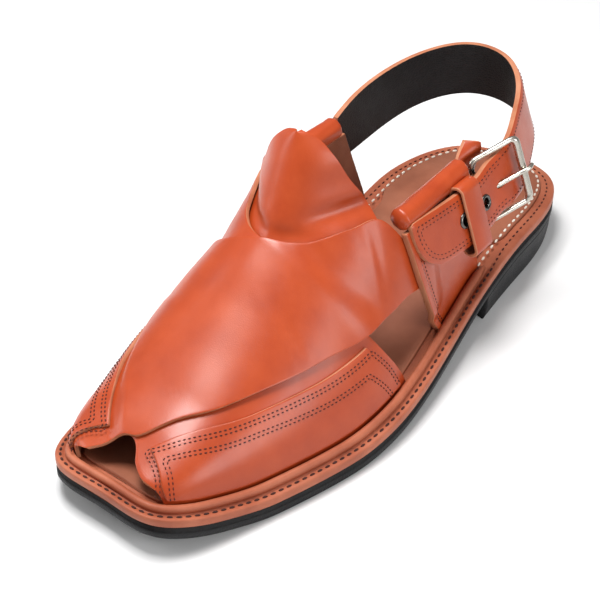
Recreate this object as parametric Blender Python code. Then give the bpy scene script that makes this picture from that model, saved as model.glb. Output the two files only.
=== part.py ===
"""Peshawari chappal, left shoe.

Metres, +Z up. The toe points towards -Y and the buckle is on the outer side, towards +X. "Along" is the
distance from the heel, as a share of the sole's length, and "across" runs round the last from 0 at the inner
edge of the sole, over the instep, to 1 at the outer edge.
"""

import math

import bmesh
import bpy
import numpy as np

# Driving sizes
LENGTH = 0.295
BALL_WIDTH = 0.114
HEEL_WIDTH = 0.080
INSTEP_RISE = 0.086
HEEL_LIFT = 0.0163
TOE_SPRING = 0.011

# Sole layers
OUTSOLE_THICKNESS = 0.006
OUTSOLE_STEP = 0.0009
OUTSOLE_BAND = 0.0024
MIDSOLE_THICKNESS = 0.0045
INSOLE_THICKNESS = 0.0015
EDGE_ROUND = 0.0008
HEEL_BREAST_ALONG = 0.32
HEEL_BREAST_CURVE = 0.006
HEEL_TAPER = 0.0014

# Margins from the sole's edge
RAND_MARGIN = 0.0041
RAND_WIDTH = 0.0040
RAND_HEIGHT = 0.0030
RAND_END_ALONG = 0.30
UPPER_MARGIN = 0.0085
INSOLE_HEEL_MARGIN = 0.0068

# Leather
STRAP_WALL = 0.0018
OVERLAY_THICKNESS = 0.0010
TONGUE_THICKNESS = 0.0018
TONGUE_HEIGHT = 0.0395
TONGUE_WIDTH = 0.0190
TONGUE_DEPTH = 0.0360
TONGUE_INNER_SHARE = 0.92
QUARTER_WALL = 0.0020
COLLAR_RADIUS = 0.0044
BACKSTRAP_WIDTH = 0.0262
BACKSTRAP_THICKNESS = 0.0032
CHAPE_WIDTH = 0.0180
CHAPE_THICKNESS = 0.0012
CHAPE_SLOT = 0.0040
GUARD_THICKNESS = 0.0014
KEEPER_WIDTH = 0.0120
KEEPER_HEIGHT = 0.0340
KEEPER_THICKNESS = 0.0014
KEEPER_SLACK = 0.0011
KEEPER_DROP = 0.0012

# Metal
BUCKLE_HEIGHT = 0.0332
BUCKLE_CORNER = 0.0030
BUCKLE_WIRE = 0.0025
HINGE_INSET = 0.0055
END_STANDOFF = 0.0055
PIN_WIRE = 0.0020
EYELET_RADIUS = 0.0038
EYELET_HOLE = 0.0021

# Clearances
GAP = 0.0003

# The sole's outline from the heel round the outer side to the toe and back: shares of the length and of the
# local width, which is the heel's width behind the waist and the ball's width in front of it.
OUTLINE = (
    # along, across
    (0.000, 0.040),
    (0.022, 0.368),
    (0.111, 0.526),
    (0.212, 0.561),
    (0.364, 0.517),
    (0.501, 0.496),
    (0.640, 0.515),
    (0.765, 0.449),
    (0.899, 0.320),
    (0.997, 0.151),
    (1.000, -0.076),
    (0.991, -0.305),
    (0.923, -0.419),
    (0.791, -0.483),
    (0.675, -0.481),
    (0.508, -0.393),
    (0.375, -0.360),
    (0.224, -0.438),
    (0.122, -0.411),
    (0.030, -0.261),
)

# Height of the outsole's underside: shares of the heel's lift and of the toe's spring.
UNDERSIDE = (
    # along, heel, toe
    (0.00, 0.74, 0.0),
    (0.20, 1.00, 0.0),
    (0.32, 0.82, 0.0),
    (0.41, 0.58, 0.0),
    (0.52, 0.32, 0.0),
    (0.64, 0.10, 0.0),
    (0.72, 0.00, 0.0),
    (0.84, 0.00, 0.0),
    (0.92, 0.00, 0.32),
    (1.01, 0.00, 1.0),
)

# Cross-sections of the last: rise as a share of the instep's, lean to the inner side as a share of the ball's
# width, and the fullness of the arch, where less than 1 is boxy and more than 1 is a ridge.
LAST = (
    # along, rise, lean, fullness
    (0.27, 0.977, 0.105, 0.50),
    (0.31, 0.977, 0.114, 0.50),
    (0.38, 0.977, 0.123, 0.55),
    (0.44, 0.988, 0.132, 0.62),
    (0.51, 1.000, 0.132, 0.77),
    (0.56, 0.930, 0.123, 0.94),
    (0.59, 0.866, 0.123, 1.03),
    (0.63, 0.779, 0.118, 1.12),
    (0.68, 0.686, 0.108, 1.09),
    (0.73, 0.581, 0.088, 1.02),
    (0.78, 0.483, 0.070, 0.95),
    (0.85, 0.360, 0.047, 0.82),
    (0.90, 0.267, 0.035, 0.68),
    (0.93, 0.198, 0.029, 0.57),
    (0.97, 0.105, 0.026, 0.50),
)

# One strap, from its foot at the sole to its far end under the quarter. Both straps have the same pattern, one
# mirrored across.
STRAP = (
    # front_along, front_across, rear_along, rear_across
    (0.966, 0.000, 0.560, 0.000),
    (0.967, 0.330, 0.600, 0.130),
    (0.955, 0.455, 0.630, 0.270),
    (0.925, 0.502, 0.642, 0.380),
    (0.885, 0.570, 0.639, 0.460),
    (0.831, 0.680, 0.627, 0.560),
    (0.742, 0.765, 0.607, 0.620),
    (0.661, 0.810, 0.563, 0.680),
    (0.573, 0.862, 0.519, 0.735),
    (0.480, 0.930, 0.490, 0.830),
)

# Upper edge of each toe overlay, from the toe to the waist, across from the strap's foot.
OVERLAY = (
    # along, across
    (0.928, 0.450),
    (0.900, 0.385),
    (0.870, 0.325),
    (0.820, 0.245),
    (0.740, 0.190),
    (0.680, 0.165),
    (0.620, 0.150),
)
OVERLAY_FOOT_FRONT = 0.962
OVERLAY_FOOT_REAR = 0.580

# Front and rear edges of a quarter, by height as a share of the way from the sole to its top.
QUARTER_EDGES = (
    # height, outer_front, inner_front, outer_rear, inner_rear
    (0.00, 0.451, 0.454, 0.304, 0.292),
    (0.25, 0.475, 0.466, 0.311, 0.299),
    (0.50, 0.488, 0.473, 0.318, 0.309),
    (0.75, 0.495, 0.482, 0.323, 0.320),
    (1.00, 0.497, 0.496, 0.327, 0.332),
)
QUARTER_TOP = 0.865
COLLAR_ALONG = (0.484, 0.326)
INNER_COLLAR_ALONG = (0.484, 0.345)

# The guard tab behind the buckle, by height over the ground as a share of the instep's rise.
GUARD = (
    # height, front_along, rear_along
    (0.750, 0.345, 0.296),
    (0.790, 0.345, 0.281),
    (0.845, 0.340, 0.279),
    (0.880, 0.322, 0.279),
    (0.940, 0.318, 0.279),
    (1.005, 0.290, 0.279),
)
GUARD_FLARE = 0.0060

# The tongue above the straps: half its width and the depth of its curve, as shares of its own sizes.
TONGUE = (
    # height, half_width, depth
    (0.00, 1.50, 1.00),
    (0.20, 1.38, 0.88),
    (0.40, 1.14, 0.66),
    (0.60, 0.90, 0.50),
    (0.78, 0.62, 0.34),
    (0.92, 0.33, 0.16),
    (1.00, 0.03, 0.00),
)

# The back strap's middle line round the heel: shares of the heel's width, the length and the instep's rise.
BACKSTRAP = (
    # across, along, height, lean_degrees
    (-0.452, 0.338, 0.805, 3.0),
    (-0.438, 0.268, 0.850, -6.0),
    (-0.362, 0.163, 0.899, -5.0),
    (-0.115, 0.099, 0.967, -1.5),
    (0.128, 0.080, 0.933, 7.5),
    (0.326, 0.119, 0.895, 17.5),
    (0.440, 0.181, 0.864, 19.5),
    (0.529, 0.254, 0.834, 20.5),
)
# Its free end over the outer quarter: height, and distance out from the last to its middle.
TIP = (
    # along, height, standoff
    (0.300, 0.805, 0.0108),
    (0.330, 0.780, 0.0104),
    (0.400, 0.775, 0.0084),
    (0.492, 0.790, 0.0050),
)
TIP_WIDTH = 0.0250
TIP_ROUND = 0.0200
HINGE_ALONG = 0.312
BUCKLE_END_ALONG = 0.250
KEEPER_ALONG = 0.365
EYELETS_ALONG = (0.383, 0.3315, 0.225)


def interpolate(rows, column):
    """A smooth curve through one column of a table, which never swings past its own rows."""
    knots = np.array([row[0] for row in rows], float)
    values = np.array([row[column] for row in rows], float)
    steps = np.diff(knots)
    slopes = np.diff(values) / steps
    inner = np.where(slopes[1:] * slopes[:-1] > 0, 2 * slopes[1:] * slopes[:-1], 0.0)
    inner = inner / np.where(inner == 0.0, 1.0, slopes[1:] + slopes[:-1])
    tangents = np.concatenate([slopes[:1], inner, slopes[-1:]])

    def at(position):
        x = np.clip(np.asarray(position, float), knots[0], knots[-1])
        i = np.clip(np.searchsorted(knots, x, side="right") - 1, 0, len(steps) - 1)
        u = (x - knots[i]) / steps[i]
        rise = 3 * u**2 - 2 * u**3
        return (
            values[i] * (1 - rise)
            + values[i + 1] * rise
            + steps[i] * (tangents[i] * u * (1 - u) ** 2 - tangents[i + 1] * u**2 * (1 - u))
        )

    return at


def spline(points, count, closed=False):
    """Points spread evenly by parameter along a cubic spline through the given points."""
    nodes = np.array(points, float)
    if closed:
        nodes = np.vstack([nodes, nodes[:1]])
    chords = np.linalg.norm(np.diff(nodes, axis=0), axis=1)
    knots = np.concatenate([[0.0], np.cumsum(np.sqrt(chords))])
    steps = np.diff(knots)
    slopes = np.diff(nodes, axis=0) / steps[:, None]
    size = len(steps)
    if closed:
        system = np.zeros((size, size))
        right = np.zeros((size, nodes.shape[1]))
        for i in range(size):
            before = steps[i - 1]
            system[i, i - 1] += before
            system[i, i] += 2 * (before + steps[i])
            system[i, (i + 1) % size] += steps[i]
            right[i] = 6 * (slopes[i] - slopes[i - 1])
        bends = np.linalg.solve(system, right)
        bends = np.vstack([bends, bends[:1]])
        at = np.linspace(0, size, count, endpoint=False)
    else:
        bends = np.zeros_like(nodes)
        if size > 1:
            system = np.zeros((size - 1, size - 1))
            for i in range(size - 1):
                system[i, i] = 2 * (steps[i] + steps[i + 1])
                if i:
                    system[i, i - 1] = steps[i]
                if i < size - 2:
                    system[i, i + 1] = steps[i + 1]
            bends[1:-1] = np.linalg.solve(system, 6 * np.diff(slopes, axis=0))
        at = np.linspace(0, size, count)
    i = np.minimum(at.astype(int), size - 1)
    h = steps[i][:, None]
    u = (at - i)[:, None]
    v = 1 - u
    bend = ((v**3 - v) * bends[i] + (u**3 - u) * bends[i + 1]) * h**2 / 6
    return nodes[i] * v + nodes[i + 1] * u + bend


def smooth_step(value):
    value = np.clip(value, 0.0, 1.0)
    return value * value * (3 - 2 * value)


def unit(vectors):
    return vectors / np.maximum(np.linalg.norm(vectors, axis=-1, keepdims=True), 1e-12)


def local_width(along):
    return HEEL_WIDTH + (BALL_WIDTH - HEEL_WIDTH) * smooth_step((along - 0.2) / 0.35)


SOLE_POINTS = 88
OUTLINE_STEPS = 400


def outline_points(count):
    """The sole's edge as (x, along), before it is centred."""
    control = [(across * local_width(along), along * LENGTH) for along, across in OUTLINE]
    ring = spline(control, count, closed=True)
    return ring[:, 0], ring[:, 1]


EDGE_X, EDGE_Y = outline_points(OUTLINE_STEPS)
CENTRE_X = (EDGE_X.max() + EDGE_X.min()) / 2
HEEL_END = EDGE_Y.min()
TOE_END = EDGE_Y.max()
MIDDLE_Y = (HEEL_END + TOE_END) / 2


def inset_ring(margin, count=SOLE_POINTS):
    """The sole's edge moved inwards by a margin, which may differ from point to point, as (x, distance)."""
    x, distance = outline_points(count)
    tangent = unit(np.stack([np.roll(x, -1) - np.roll(x, 1), np.roll(distance, -1) - np.roll(distance, 1)], -1))
    margin = margin(distance / LENGTH) if callable(margin) else np.full(count, margin)
    return x - tangent[:, 1] * margin, distance + tangent[:, 0] * margin


heel_curve = interpolate(UNDERSIDE, 1)
toe_curve = interpolate(UNDERSIDE, 2)


def floor_gap(distance):
    """Height of the outsole's underside."""
    along = distance / LENGTH
    return HEEL_LIFT * heel_curve(along) + TOE_SPRING * toe_curve(along)


def sole_top(distance):
    return floor_gap(distance) + OUTSOLE_THICKNESS + GAP + MIDSOLE_THICKNESS


def place(x, distance, z):
    """World positions, centred over the sole, with the toe towards -Y."""
    return np.stack(np.broadcast_arrays(x - CENTRE_X, MIDDLE_Y - distance, z), -1)


def sole_side(margin):
    """Functions for the inner and outer edges of the sole at a distance from the heel, moved in by a margin."""
    x, distance = inset_ring(margin, OUTLINE_STEPS)
    heel, toe = int(distance.argmin()), int(distance.argmax())
    x, distance = np.roll(x, -heel), np.roll(distance, -heel)
    toe = (toe - heel) % OUTLINE_STEPS
    outer = slice(0, toe + 1)
    inner = slice(toe, OUTLINE_STEPS)
    return (
        lambda at: np.interp(at, distance[inner][::-1], x[inner][::-1]),
        lambda at: np.interp(at, distance[outer], x[outer]),
        float(distance.max()),
    )


INNER_EDGE, OUTER_EDGE, LAST_TOE = sole_side(UPPER_MARGIN)
rise_curve = interpolate(LAST, 1)
lean_curve = interpolate(LAST, 2)
fullness_curve = interpolate(LAST, 3)


def last_point(along, across):
    """A point on the last, at a share of the sole's length and a share of the way over the foot."""
    along, across = np.broadcast_arrays(np.asarray(along, float), np.asarray(across, float))
    distance = np.minimum(along * LENGTH, LAST_TOE - 1e-4)
    inner, outer = INNER_EDGE(distance), OUTER_EDGE(distance)
    angle = math.pi * np.clip(across, 0.0, 1.0)
    fullness = fullness_curve(along)
    level = np.maximum(np.sin(angle), 1e-9) ** fullness
    reach = np.sign(np.cos(angle)) * np.abs(np.cos(angle)) ** fullness
    x = (inner + outer) / 2 - (outer - inner) / 2 * reach - lean_curve(along) * BALL_WIDTH * level
    return place(x, distance, sole_top(distance) + INSTEP_RISE * rise_curve(along) * level)


def last_normal(along, across):
    step = 0.004
    across = np.clip(across, step, 1 - step)
    along = np.minimum(along, LAST_TOE / LENGTH - step)
    lengthwise = last_point(along + step, across) - last_point(along - step, across)
    crosswise = last_point(along, across + step) - last_point(along, across - step)
    return unit(np.cross(lengthwise, crosswise))


def over_last(along, across, offset):
    """A point held off the last by an offset. Its foot stays just clear of the sole."""
    along, across = np.broadcast_arrays(np.asarray(along, float), np.asarray(across, float))
    point = last_point(along, across)
    point = point + last_normal(along, across) * np.asarray(offset)[..., None]
    seat = sole_top(MIDDLE_Y - point[..., 1]) + GAP
    point[..., 2] = np.where((across <= 0.0) | (across >= 1.0), seat, np.maximum(point[..., 2], seat))
    return point


def across_at(along, height, outer):
    """Where the last reaches a height over the sole, as a share of the instep's rise, on its inner or outer side."""
    level = np.clip(height / rise_curve(along), 0.0, 0.999)
    angle = np.arcsin(level ** (1 / fullness_curve(along)))
    return 1 - angle / math.pi if outer else angle / math.pi


def beside_last(along, height, outer, offset):
    """A point beside the last at a height over the ground, as a share of the instep's rise."""
    along, height = np.broadcast_arrays(np.asarray(along, float), np.asarray(height, float))
    over_sole = height - sole_top(along * LENGTH) / INSTEP_RISE
    return over_last(along, across_at(along, over_sole, outer), offset)


def material(name, colour, roughness, metallic=0.0):
    made = bpy.data.materials.new(name)
    made.use_nodes = True
    shader = made.node_tree.nodes["Principled BSDF"]
    shader.inputs["Base Color"].default_value = (*colour, 1.0)
    shader.inputs["Roughness"].default_value = roughness
    shader.inputs["Metallic"].default_value = metallic
    return made


def add_object(name, vertices, faces, finish):
    mesh = bpy.data.meshes.new(name)
    mesh.from_pydata([tuple(v) for v in vertices], [], faces)
    model = bmesh.new()
    model.from_mesh(mesh)
    bmesh.ops.remove_doubles(model, verts=model.verts, dist=2e-6)
    bmesh.ops.recalc_face_normals(model, faces=model.faces)
    if model.calc_volume(signed=True) < 0:
        bmesh.ops.reverse_faces(model, faces=model.faces)
    model.to_mesh(mesh)
    model.free()
    mesh.materials.append(finish)
    mesh.shade_smooth()
    mesh.set_sharp_from_angle(angle=math.radians(40))
    made = bpy.data.objects.new(name, mesh)
    bpy.context.collection.objects.link(made)
    return made


def ring_solid(name, rings, finish):
    """A solid skinned over closed rings, from the first to the last, with each end closed by strips that run
    from one side to the other."""
    count = len(rings[0])
    faces = []
    for level in range(len(rings) - 1):
        for i in range(count):
            j = (i + 1) % count
            low, high = level * count, (level + 1) * count
            faces.append((low + i, low + j, high + j, high + i))
    for base in (0, (len(rings) - 1) * count):
        for i in range(count // 2):
            strip = [base + i, base + i + 1, base + (count - i - 1) % count, base + (count - i) % count]
            faces.append(tuple(dict.fromkeys(strip)))
    return add_object(name, np.concatenate(rings), faces, finish)


def sheet_solid(name, outside, inside, finish):
    """A sheet with real thickness between two grids of points."""
    rows, columns = outside.shape[:2]
    half = rows * columns
    faces = []
    for i in range(rows - 1):
        for j in range(columns - 1):
            a, b, c, d = i * columns + j, i * columns + j + 1, (i + 1) * columns + j + 1, (i + 1) * columns + j
            faces.append((a, b, c, d))
            faces.append((half + d, half + c, half + b, half + a))
    edge = [(0, j) for j in range(columns)] + [(i, columns - 1) for i in range(1, rows)]
    edge += [(rows - 1, j) for j in range(columns - 2, -1, -1)] + [(i, 0) for i in range(rows - 2, 0, -1)]
    for (i, j), (k, m) in zip(edge, edge[1:] + edge[:1]):
        a, b = i * columns + j, k * columns + m
        faces.append((a, half + a, half + b, b))
    return add_object(name, np.concatenate([outside.reshape(-1, 3), inside.reshape(-1, 3)]), faces, finish)


def swept_solid(name, sections, finish, closed=False):
    """A solid through a row of equal closed sections, joined end to end or closed by flat ends."""
    count, sides = sections.shape[:2]
    faces = []
    for k in range(count if closed else count - 1):
        for i in range(sides):
            j = (i + 1) % sides
            a, b = k * sides, (k + 1) % count * sides
            faces.append((a + i, a + j, b + j, b + i))
    if not closed:
        faces.append(tuple(range(sides - 1, -1, -1)))
        faces.append(tuple(range((count - 1) * sides, count * sides)))
    return add_object(name, sections.reshape(-1, 3), faces, finish)


def tube(path, radius, sides, up=(0.0, 0.0, 1.0), closed=False):
    """Round sections along a path."""
    path = np.asarray(path, float)
    if closed:
        tangent = unit(np.roll(path, -1, 0) - np.roll(path, 1, 0))
    else:
        tangent = unit(np.gradient(path, axis=0))
    side = unit(np.cross(tangent, np.broadcast_to(up, path.shape)))
    above = np.cross(side, tangent)
    turn = np.arange(sides) * 2 * math.pi / sides
    radius = np.broadcast_to(radius, (len(path),))[:, None, None]
    circle = np.cos(turn)[None, :, None] * side[:, None] + np.sin(turn)[None, :, None] * above[:, None]
    return path[:, None] + radius * circle


def rounded_loop(width, height, corner, steps=3):
    """A rectangle with round corners, as (u, v) points about its middle."""
    points = []
    for quarter in range(4):
        cx = (width / 2 - corner) * (1 if quarter in (0, 3) else -1)
        cy = (height / 2 - corner) * (1 if quarter in (0, 1) else -1)
        for k in range(steps + 1):
            angle = math.pi / 2 * (quarter + k / steps)
            points.append((cx + corner * math.cos(angle), cy + corner * math.sin(angle)))
    return np.array(points)


def build_outsole(finish):
    lower = OUTSOLE_THICKNESS - OUTSOLE_BAND

    def ring(margin, height):
        x, distance = inset_ring(margin)
        return place(x, distance, floor_gap(distance) + height)

    return ring_solid(
        "outsole",
        [
            ring(EDGE_ROUND, 0.0),
            ring(0.0, EDGE_ROUND),
            ring(0.0, lower),
            ring(OUTSOLE_STEP, lower + GAP),
            ring(OUTSOLE_STEP, OUTSOLE_THICKNESS),
        ],
        finish,
    )


def build_heel(finish):
    """The block under the back of the outsole, with a breast that curves towards the heel."""
    breast = HEEL_BREAST_ALONG * LENGTH
    steps = 15

    def ring(margin, height):
        inner, outer, _ = sole_side(margin)
        x, distance = inset_ring(margin, OUTLINE_STEPS)
        back = float(distance.min())
        share = 1 - np.cos(np.linspace(0, math.pi / 2, steps))
        reach = back + (breast - back) * share
        outer_side = np.stack([outer(reach), reach], -1)
        inner_side = np.stack([inner(reach), reach], -1)[::-1]
        ends = outer_side[-1], inner_side[0]
        across = np.linspace(0, 1, 7)[1:-1, None]
        front = ends[0] * (1 - across) + ends[1] * across
        front[:, 1] -= HEEL_BREAST_CURVE * 4 * (across * (1 - across))[:, 0]
        loop = np.concatenate([outer_side, front, inner_side[:-1]])
        z = floor_gap(loop[:, 1]) - GAP if height is None else height
        return place(loop[:, 0], loop[:, 1], z)

    rings = [ring(HEEL_TAPER + EDGE_ROUND, 0.0), ring(HEEL_TAPER, EDGE_ROUND), ring(OUTSOLE_STEP / 2, None)]
    count = len(rings[0])
    faces = []
    for level in range(2):
        for i in range(count):
            j = (i + 1) % count
            faces.append((level * count + i, level * count + j, (level + 1) * count + j, (level + 1) * count + i))
    faces.append(tuple(range(count)))
    top = 2 * count
    last = steps - 1
    inner_start = steps + 5
    for i in range(last):
        a, b = top + i, top + i + 1
        c = top + (count - i - 1)
        d = top + (count - i) % count
        faces.append(tuple(dict.fromkeys((a, b, c, d))))
    faces.append(tuple(range(top + last, top + inner_start + 1)))
    return add_object("heel", np.concatenate(rings), faces, finish)


def build_midsole(finish):
    def ring(margin, height):
        x, distance = inset_ring(margin)
        return place(x, distance, floor_gap(distance) + OUTSOLE_THICKNESS + GAP + height)

    return ring_solid(
        "midsole",
        [
            ring(EDGE_ROUND, 0.0),
            ring(0.0, EDGE_ROUND),
            ring(0.0, MIDSOLE_THICKNESS - EDGE_ROUND),
            ring(EDGE_ROUND, MIDSOLE_THICKNESS),
        ],
        finish,
    )


def insole_margin(along):
    forefoot = UPPER_MARGIN + STRAP_WALL + 4 * GAP
    return INSOLE_HEEL_MARGIN + (forefoot - INSOLE_HEEL_MARGIN) * smooth_step((along - 0.22) / 0.05)


def build_insole(finish):
    def ring(extra, height):
        x, distance = inset_ring(lambda along: insole_margin(along) + extra)
        return place(x, distance, sole_top(distance) + GAP + height)

    return ring_solid(
        "insole",
        [ring(0.0, 0.0), ring(0.0, INSOLE_THICKNESS - 0.0005), ring(0.0005, INSOLE_THICKNESS)],
        finish,
    )


def build_rand(finish):
    """The raised bead round the forepart, from the outer waist round the toe to the inner waist."""
    x, distance = inset_ring(RAND_MARGIN + RAND_WIDTH / 2, OUTLINE_STEPS)
    start = int(np.argmax(distance > RAND_END_ALONG * LENGTH))
    toe = int(distance.argmax())
    end = toe + int(np.argmax(distance[toe:] < RAND_END_ALONG * LENGTH))
    pick = np.linspace(start, end, 64).astype(int)
    centre = place(x[pick], distance[pick], 0.0)
    tangent = unit(np.gradient(centre, axis=0))
    side = unit(np.cross(tangent, (0.0, 0.0, 1.0)))
    half = RAND_WIDTH / 2
    profile = ((-1.0, 0.0), (-0.92, 0.5), (-0.5, 0.93), (0.0, 1.0), (0.5, 0.93), (0.92, 0.5), (1.0, 0.0))
    sections = np.stack([centre + side * half * u + np.array((0, 0, RAND_HEIGHT)) * v for u, v in profile], 1)
    sections[..., 2] += sole_top(MIDDLE_Y - sections[..., 1]) + GAP
    return swept_solid("rand", sections, finish)


front_of_strap = {
    "along": interpolate([(i, row[0]) for i, row in enumerate(STRAP)], 1),
    "across": interpolate([(i, row[1]) for i, row in enumerate(STRAP)], 1),
}
rear_of_strap = {
    "along": interpolate([(i, row[2]) for i, row in enumerate(STRAP)], 1),
    "across": interpolate([(i, row[3]) for i, row in enumerate(STRAP)], 1),
}


def strap_grid(rows, columns):
    """Shares along and across the last for one strap, whose foot is at 0 across."""
    u = np.linspace(0, len(STRAP) - 1, rows)[:, None]
    w = np.linspace(0, 1, columns)[None, :]
    along = front_of_strap["along"](u) * (1 - w) + rear_of_strap["along"](u) * w
    across = front_of_strap["across"](u) * (1 - w) + rear_of_strap["across"](u) * w
    return along, across


def strap_lift(along, across):
    """How far the top strap is raised over the other, from 0 where it lies on the foot to 1 over the lower one."""
    reach = 0.035
    steps = np.linspace(0, len(STRAP) - 1, 120)
    below = 1 - across
    front = np.interp(below, front_of_strap["across"](steps), front_of_strap["along"](steps))
    rear = np.interp(below, rear_of_strap["across"](steps), rear_of_strap["along"](steps))
    return smooth_step((front + reach - along) / reach) * smooth_step((along - rear + reach) / reach)


def build_upper(finish):
    """Both straps in one piece: the inner toe's strap lies over the outer toe's, and they join where they cross."""
    along, across = strap_grid(27, 11)
    lower = sheet_solid(
        "upper", over_last(along, 1 - across, 0.0), over_last(along, 1 - across, -STRAP_WALL), finish
    )
    sink = 0.6 * STRAP_WALL
    lift = strap_lift(along, across) * STRAP_WALL
    inside = lift * (1 - sink / STRAP_WALL) - STRAP_WALL
    top = sheet_solid("top strap", over_last(along, across, lift), over_last(along, across, inside), finish)
    top.hide_render = True
    top.display_type = "WIRE"
    join = lower.modifiers.new("Crossing", "BOOLEAN")
    join.operation = "UNION"
    join.solver = "EXACT"
    join.object = top
    return lower


def overlay_grid(rows, columns):
    numbered = [(i, *row) for i, row in enumerate(OVERLAY)]
    u = np.linspace(0, len(OVERLAY) - 1, rows)[:, None]
    top_along, top_across = interpolate(numbered, 1)(u), interpolate(numbered, 2)(u)
    share = u / u[-1]
    foot_along = OVERLAY_FOOT_FRONT + (OVERLAY_FOOT_REAR - OVERLAY_FOOT_FRONT) * share
    foot_across = across_at(foot_along, (RAND_HEIGHT + 3 * GAP) / INSTEP_RISE, False)
    w = np.linspace(0, 1, columns)[None, :]
    bow = w ** (1 + 1.4 * (1 - smooth_step(3 * share)))
    return foot_along * (1 - bow) + top_along * bow, foot_across * (1 - w) + top_across * w


def build_overlay(name, outer, finish):
    along, across = overlay_grid(25, 8)
    if outer:
        lift = np.zeros_like(along)
        across = 1 - across
    else:
        lift = strap_lift(along, across) * STRAP_WALL
    inside = lift + 2.5 * GAP
    return sheet_solid(
        name, over_last(along, across, inside + OVERLAY_THICKNESS), over_last(along, across, inside), finish
    )


def throat_point(q):
    """The line where the tongue leaves the straps, from the inner side at -1 to the outer side at 1."""
    across = 0.505 + 0.262 * q
    along = 0.628 - 0.108 * np.abs(q) ** 1.6
    return along, across


def build_tongue(finish):
    q = np.linspace(-1, 1, 13)
    under = -(STRAP_WALL + 3 * GAP)
    rows = []
    along, across = throat_point(q)
    for ahead, narrower in ((0.15, 0.45), (0.10, 0.72), (0.05, 0.90), (0.0, 1.0)):
        position = np.minimum(along + ahead * (1 + 0.4 * np.abs(q)), 0.80)
        rows.append(over_last(position, 0.505 + (across - 0.505) * narrower, np.full(q.shape, under)))
    throat = rows[-1]
    middle = throat[len(q) // 2]
    tip = middle + np.array((-0.0035, 0.0220, TONGUE_HEIGHT))
    width, depth = interpolate(TONGUE, 1), interpolate(TONGUE, 2)
    side = np.where(q < 0, TONGUE_INNER_SHARE, 1.0) * q
    for share in (0.15, 0.3, 0.45, 0.6, 0.74, 0.86, 0.95, 1.0):
        centre = middle + (tip - middle) * share
        x = centre[0] + TONGUE_WIDTH * width(share) * side
        y = centre[1] + TONGUE_DEPTH * depth(share) * np.abs(q) ** 1.7
        rows.append(np.stack([x, y, np.full(q.shape, centre[2])], -1))
    outside = np.array(rows)
    lengthwise = np.gradient(outside, axis=0)
    crosswise = np.gradient(outside, axis=1)
    normal = unit(np.cross(crosswise, lengthwise))
    normal = np.where((normal[..., 1] > 0.2)[..., None], -normal, normal)
    return sheet_solid("tongue", outside, outside - normal * TONGUE_THICKNESS, finish)


def quarter_column(outer):
    front = 1 if outer else 2
    rear = 3 if outer else 4
    return interpolate(QUARTER_EDGES, front), interpolate(QUARTER_EDGES, rear)


def build_quarter(name, outer, finish):
    """A side of the back, over the strap's end at its front and on the sole along its foot."""
    front, rear = quarter_column(outer)
    rows, columns = 8, 13
    share = np.linspace(0, 1, rows)[:, None]
    w = np.linspace(0, 1, columns)[None, :]
    along = front(share) * (1 - w) + rear(share) * w
    height = share * (QUARTER_TOP - sole_top(along * LENGTH) / INSTEP_RISE)
    across = across_at(along, height, outer)
    over_strap = smooth_step((along - 0.42) / 0.04) * smooth_step((height - 0.10) / 0.08)
    inside = -STRAP_WALL + (STRAP_WALL + GAP) * over_strap
    across = np.where(height == 0.0, 1.0 if outer else 0.0, across)
    return sheet_solid(
        name, over_last(along, across, inside + QUARTER_WALL), over_last(along, across, inside), finish
    )


def build_collar(name, outer, ends, finish):
    along = np.linspace(ends[0], ends[1], 12)
    path = beside_last(along, QUARTER_TOP + (COLLAR_RADIUS + 2 * GAP) / INSTEP_RISE, outer, np.zeros(12))
    return swept_solid(name, tube(path, COLLAR_RADIUS, 10), finish)


def backstrap_path(count=58):
    """Middle line, outward direction and upward direction of the back strap, from the inner quarter round the
    heel and through the buckle to its tip."""
    points = []
    for across, along, height, lean in BACKSTRAP:
        points.append((across * HEEL_WIDTH, along * LENGTH, height * INSTEP_RISE, lean))
    for along, height, standoff in TIP:
        surface = beside_last(along, height, True, standoff)
        points.append((surface[0] + CENTRE_X, along * LENGTH, height * INSTEP_RISE, 20.0))
    line = spline(np.array(points) * (1, 1, 1, 1e-3), count) * (1, 1, 1, 1e3)
    middle = place(line[:, 0], line[:, 1], line[:, 2])
    flat = unit(np.gradient(middle[:, :2], axis=0))
    outward = np.stack([-flat[:, 1], flat[:, 0], np.zeros(count)], -1)
    lean = np.radians(line[:, 3])[:, None]
    up = np.cos(lean) * np.array((0.0, 0.0, 1.0)) - np.sin(lean) * outward
    out = np.cos(lean) * outward + np.sin(lean) * np.array((0.0, 0.0, 1.0))
    return middle, out, up


def run_length(path):
    return np.concatenate([[0.0], np.cumsum(np.linalg.norm(np.diff(path, axis=0), axis=1))])


def strap_edges(run):
    """Lower and upper edge of the back strap from its middle line. The tip's lower corner is a wide round."""
    left = run[-1] - run
    half = BACKSTRAP_WIDTH / 2 + (TIP_WIDTH - BACKSTRAP_WIDTH) / 2 * smooth_step(1 - (left - 0.05) / 0.03)
    low = np.clip(1 - left / TIP_ROUND, 0.0, 1.0)
    high = np.clip(1 - left / 0.002, 0.0, 1.0)
    lower = -half + 1.75 * half * (1 - (1 - 0.98 * low**2.4) ** (1 / 2.4))
    return lower, half - 0.0015 * high**2


def strap_at(along):
    """Middle point of the back strap's outer side at a distance from the heel, with its outward and up
    directions and the direction in which it runs."""
    middle, out, up = backstrap_path(400)
    distance = MIDDLE_Y - middle[:, 1]
    outer = np.arange(len(distance)) > int(distance.argmin())
    k = int(np.argmin(np.where(outer, np.abs(distance - along * LENGTH), 1.0)))
    run = unit(middle[k + 1] - middle[k - 1])
    return middle[k], out[k], up[k], run


def cut(body, cutter, name):
    cutter.hide_render = True
    cutter.display_type = "WIRE"
    made = body.modifiers.new(name, "BOOLEAN")
    made.operation = "DIFFERENCE"
    made.solver = "EXACT"
    made.object = cutter


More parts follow.
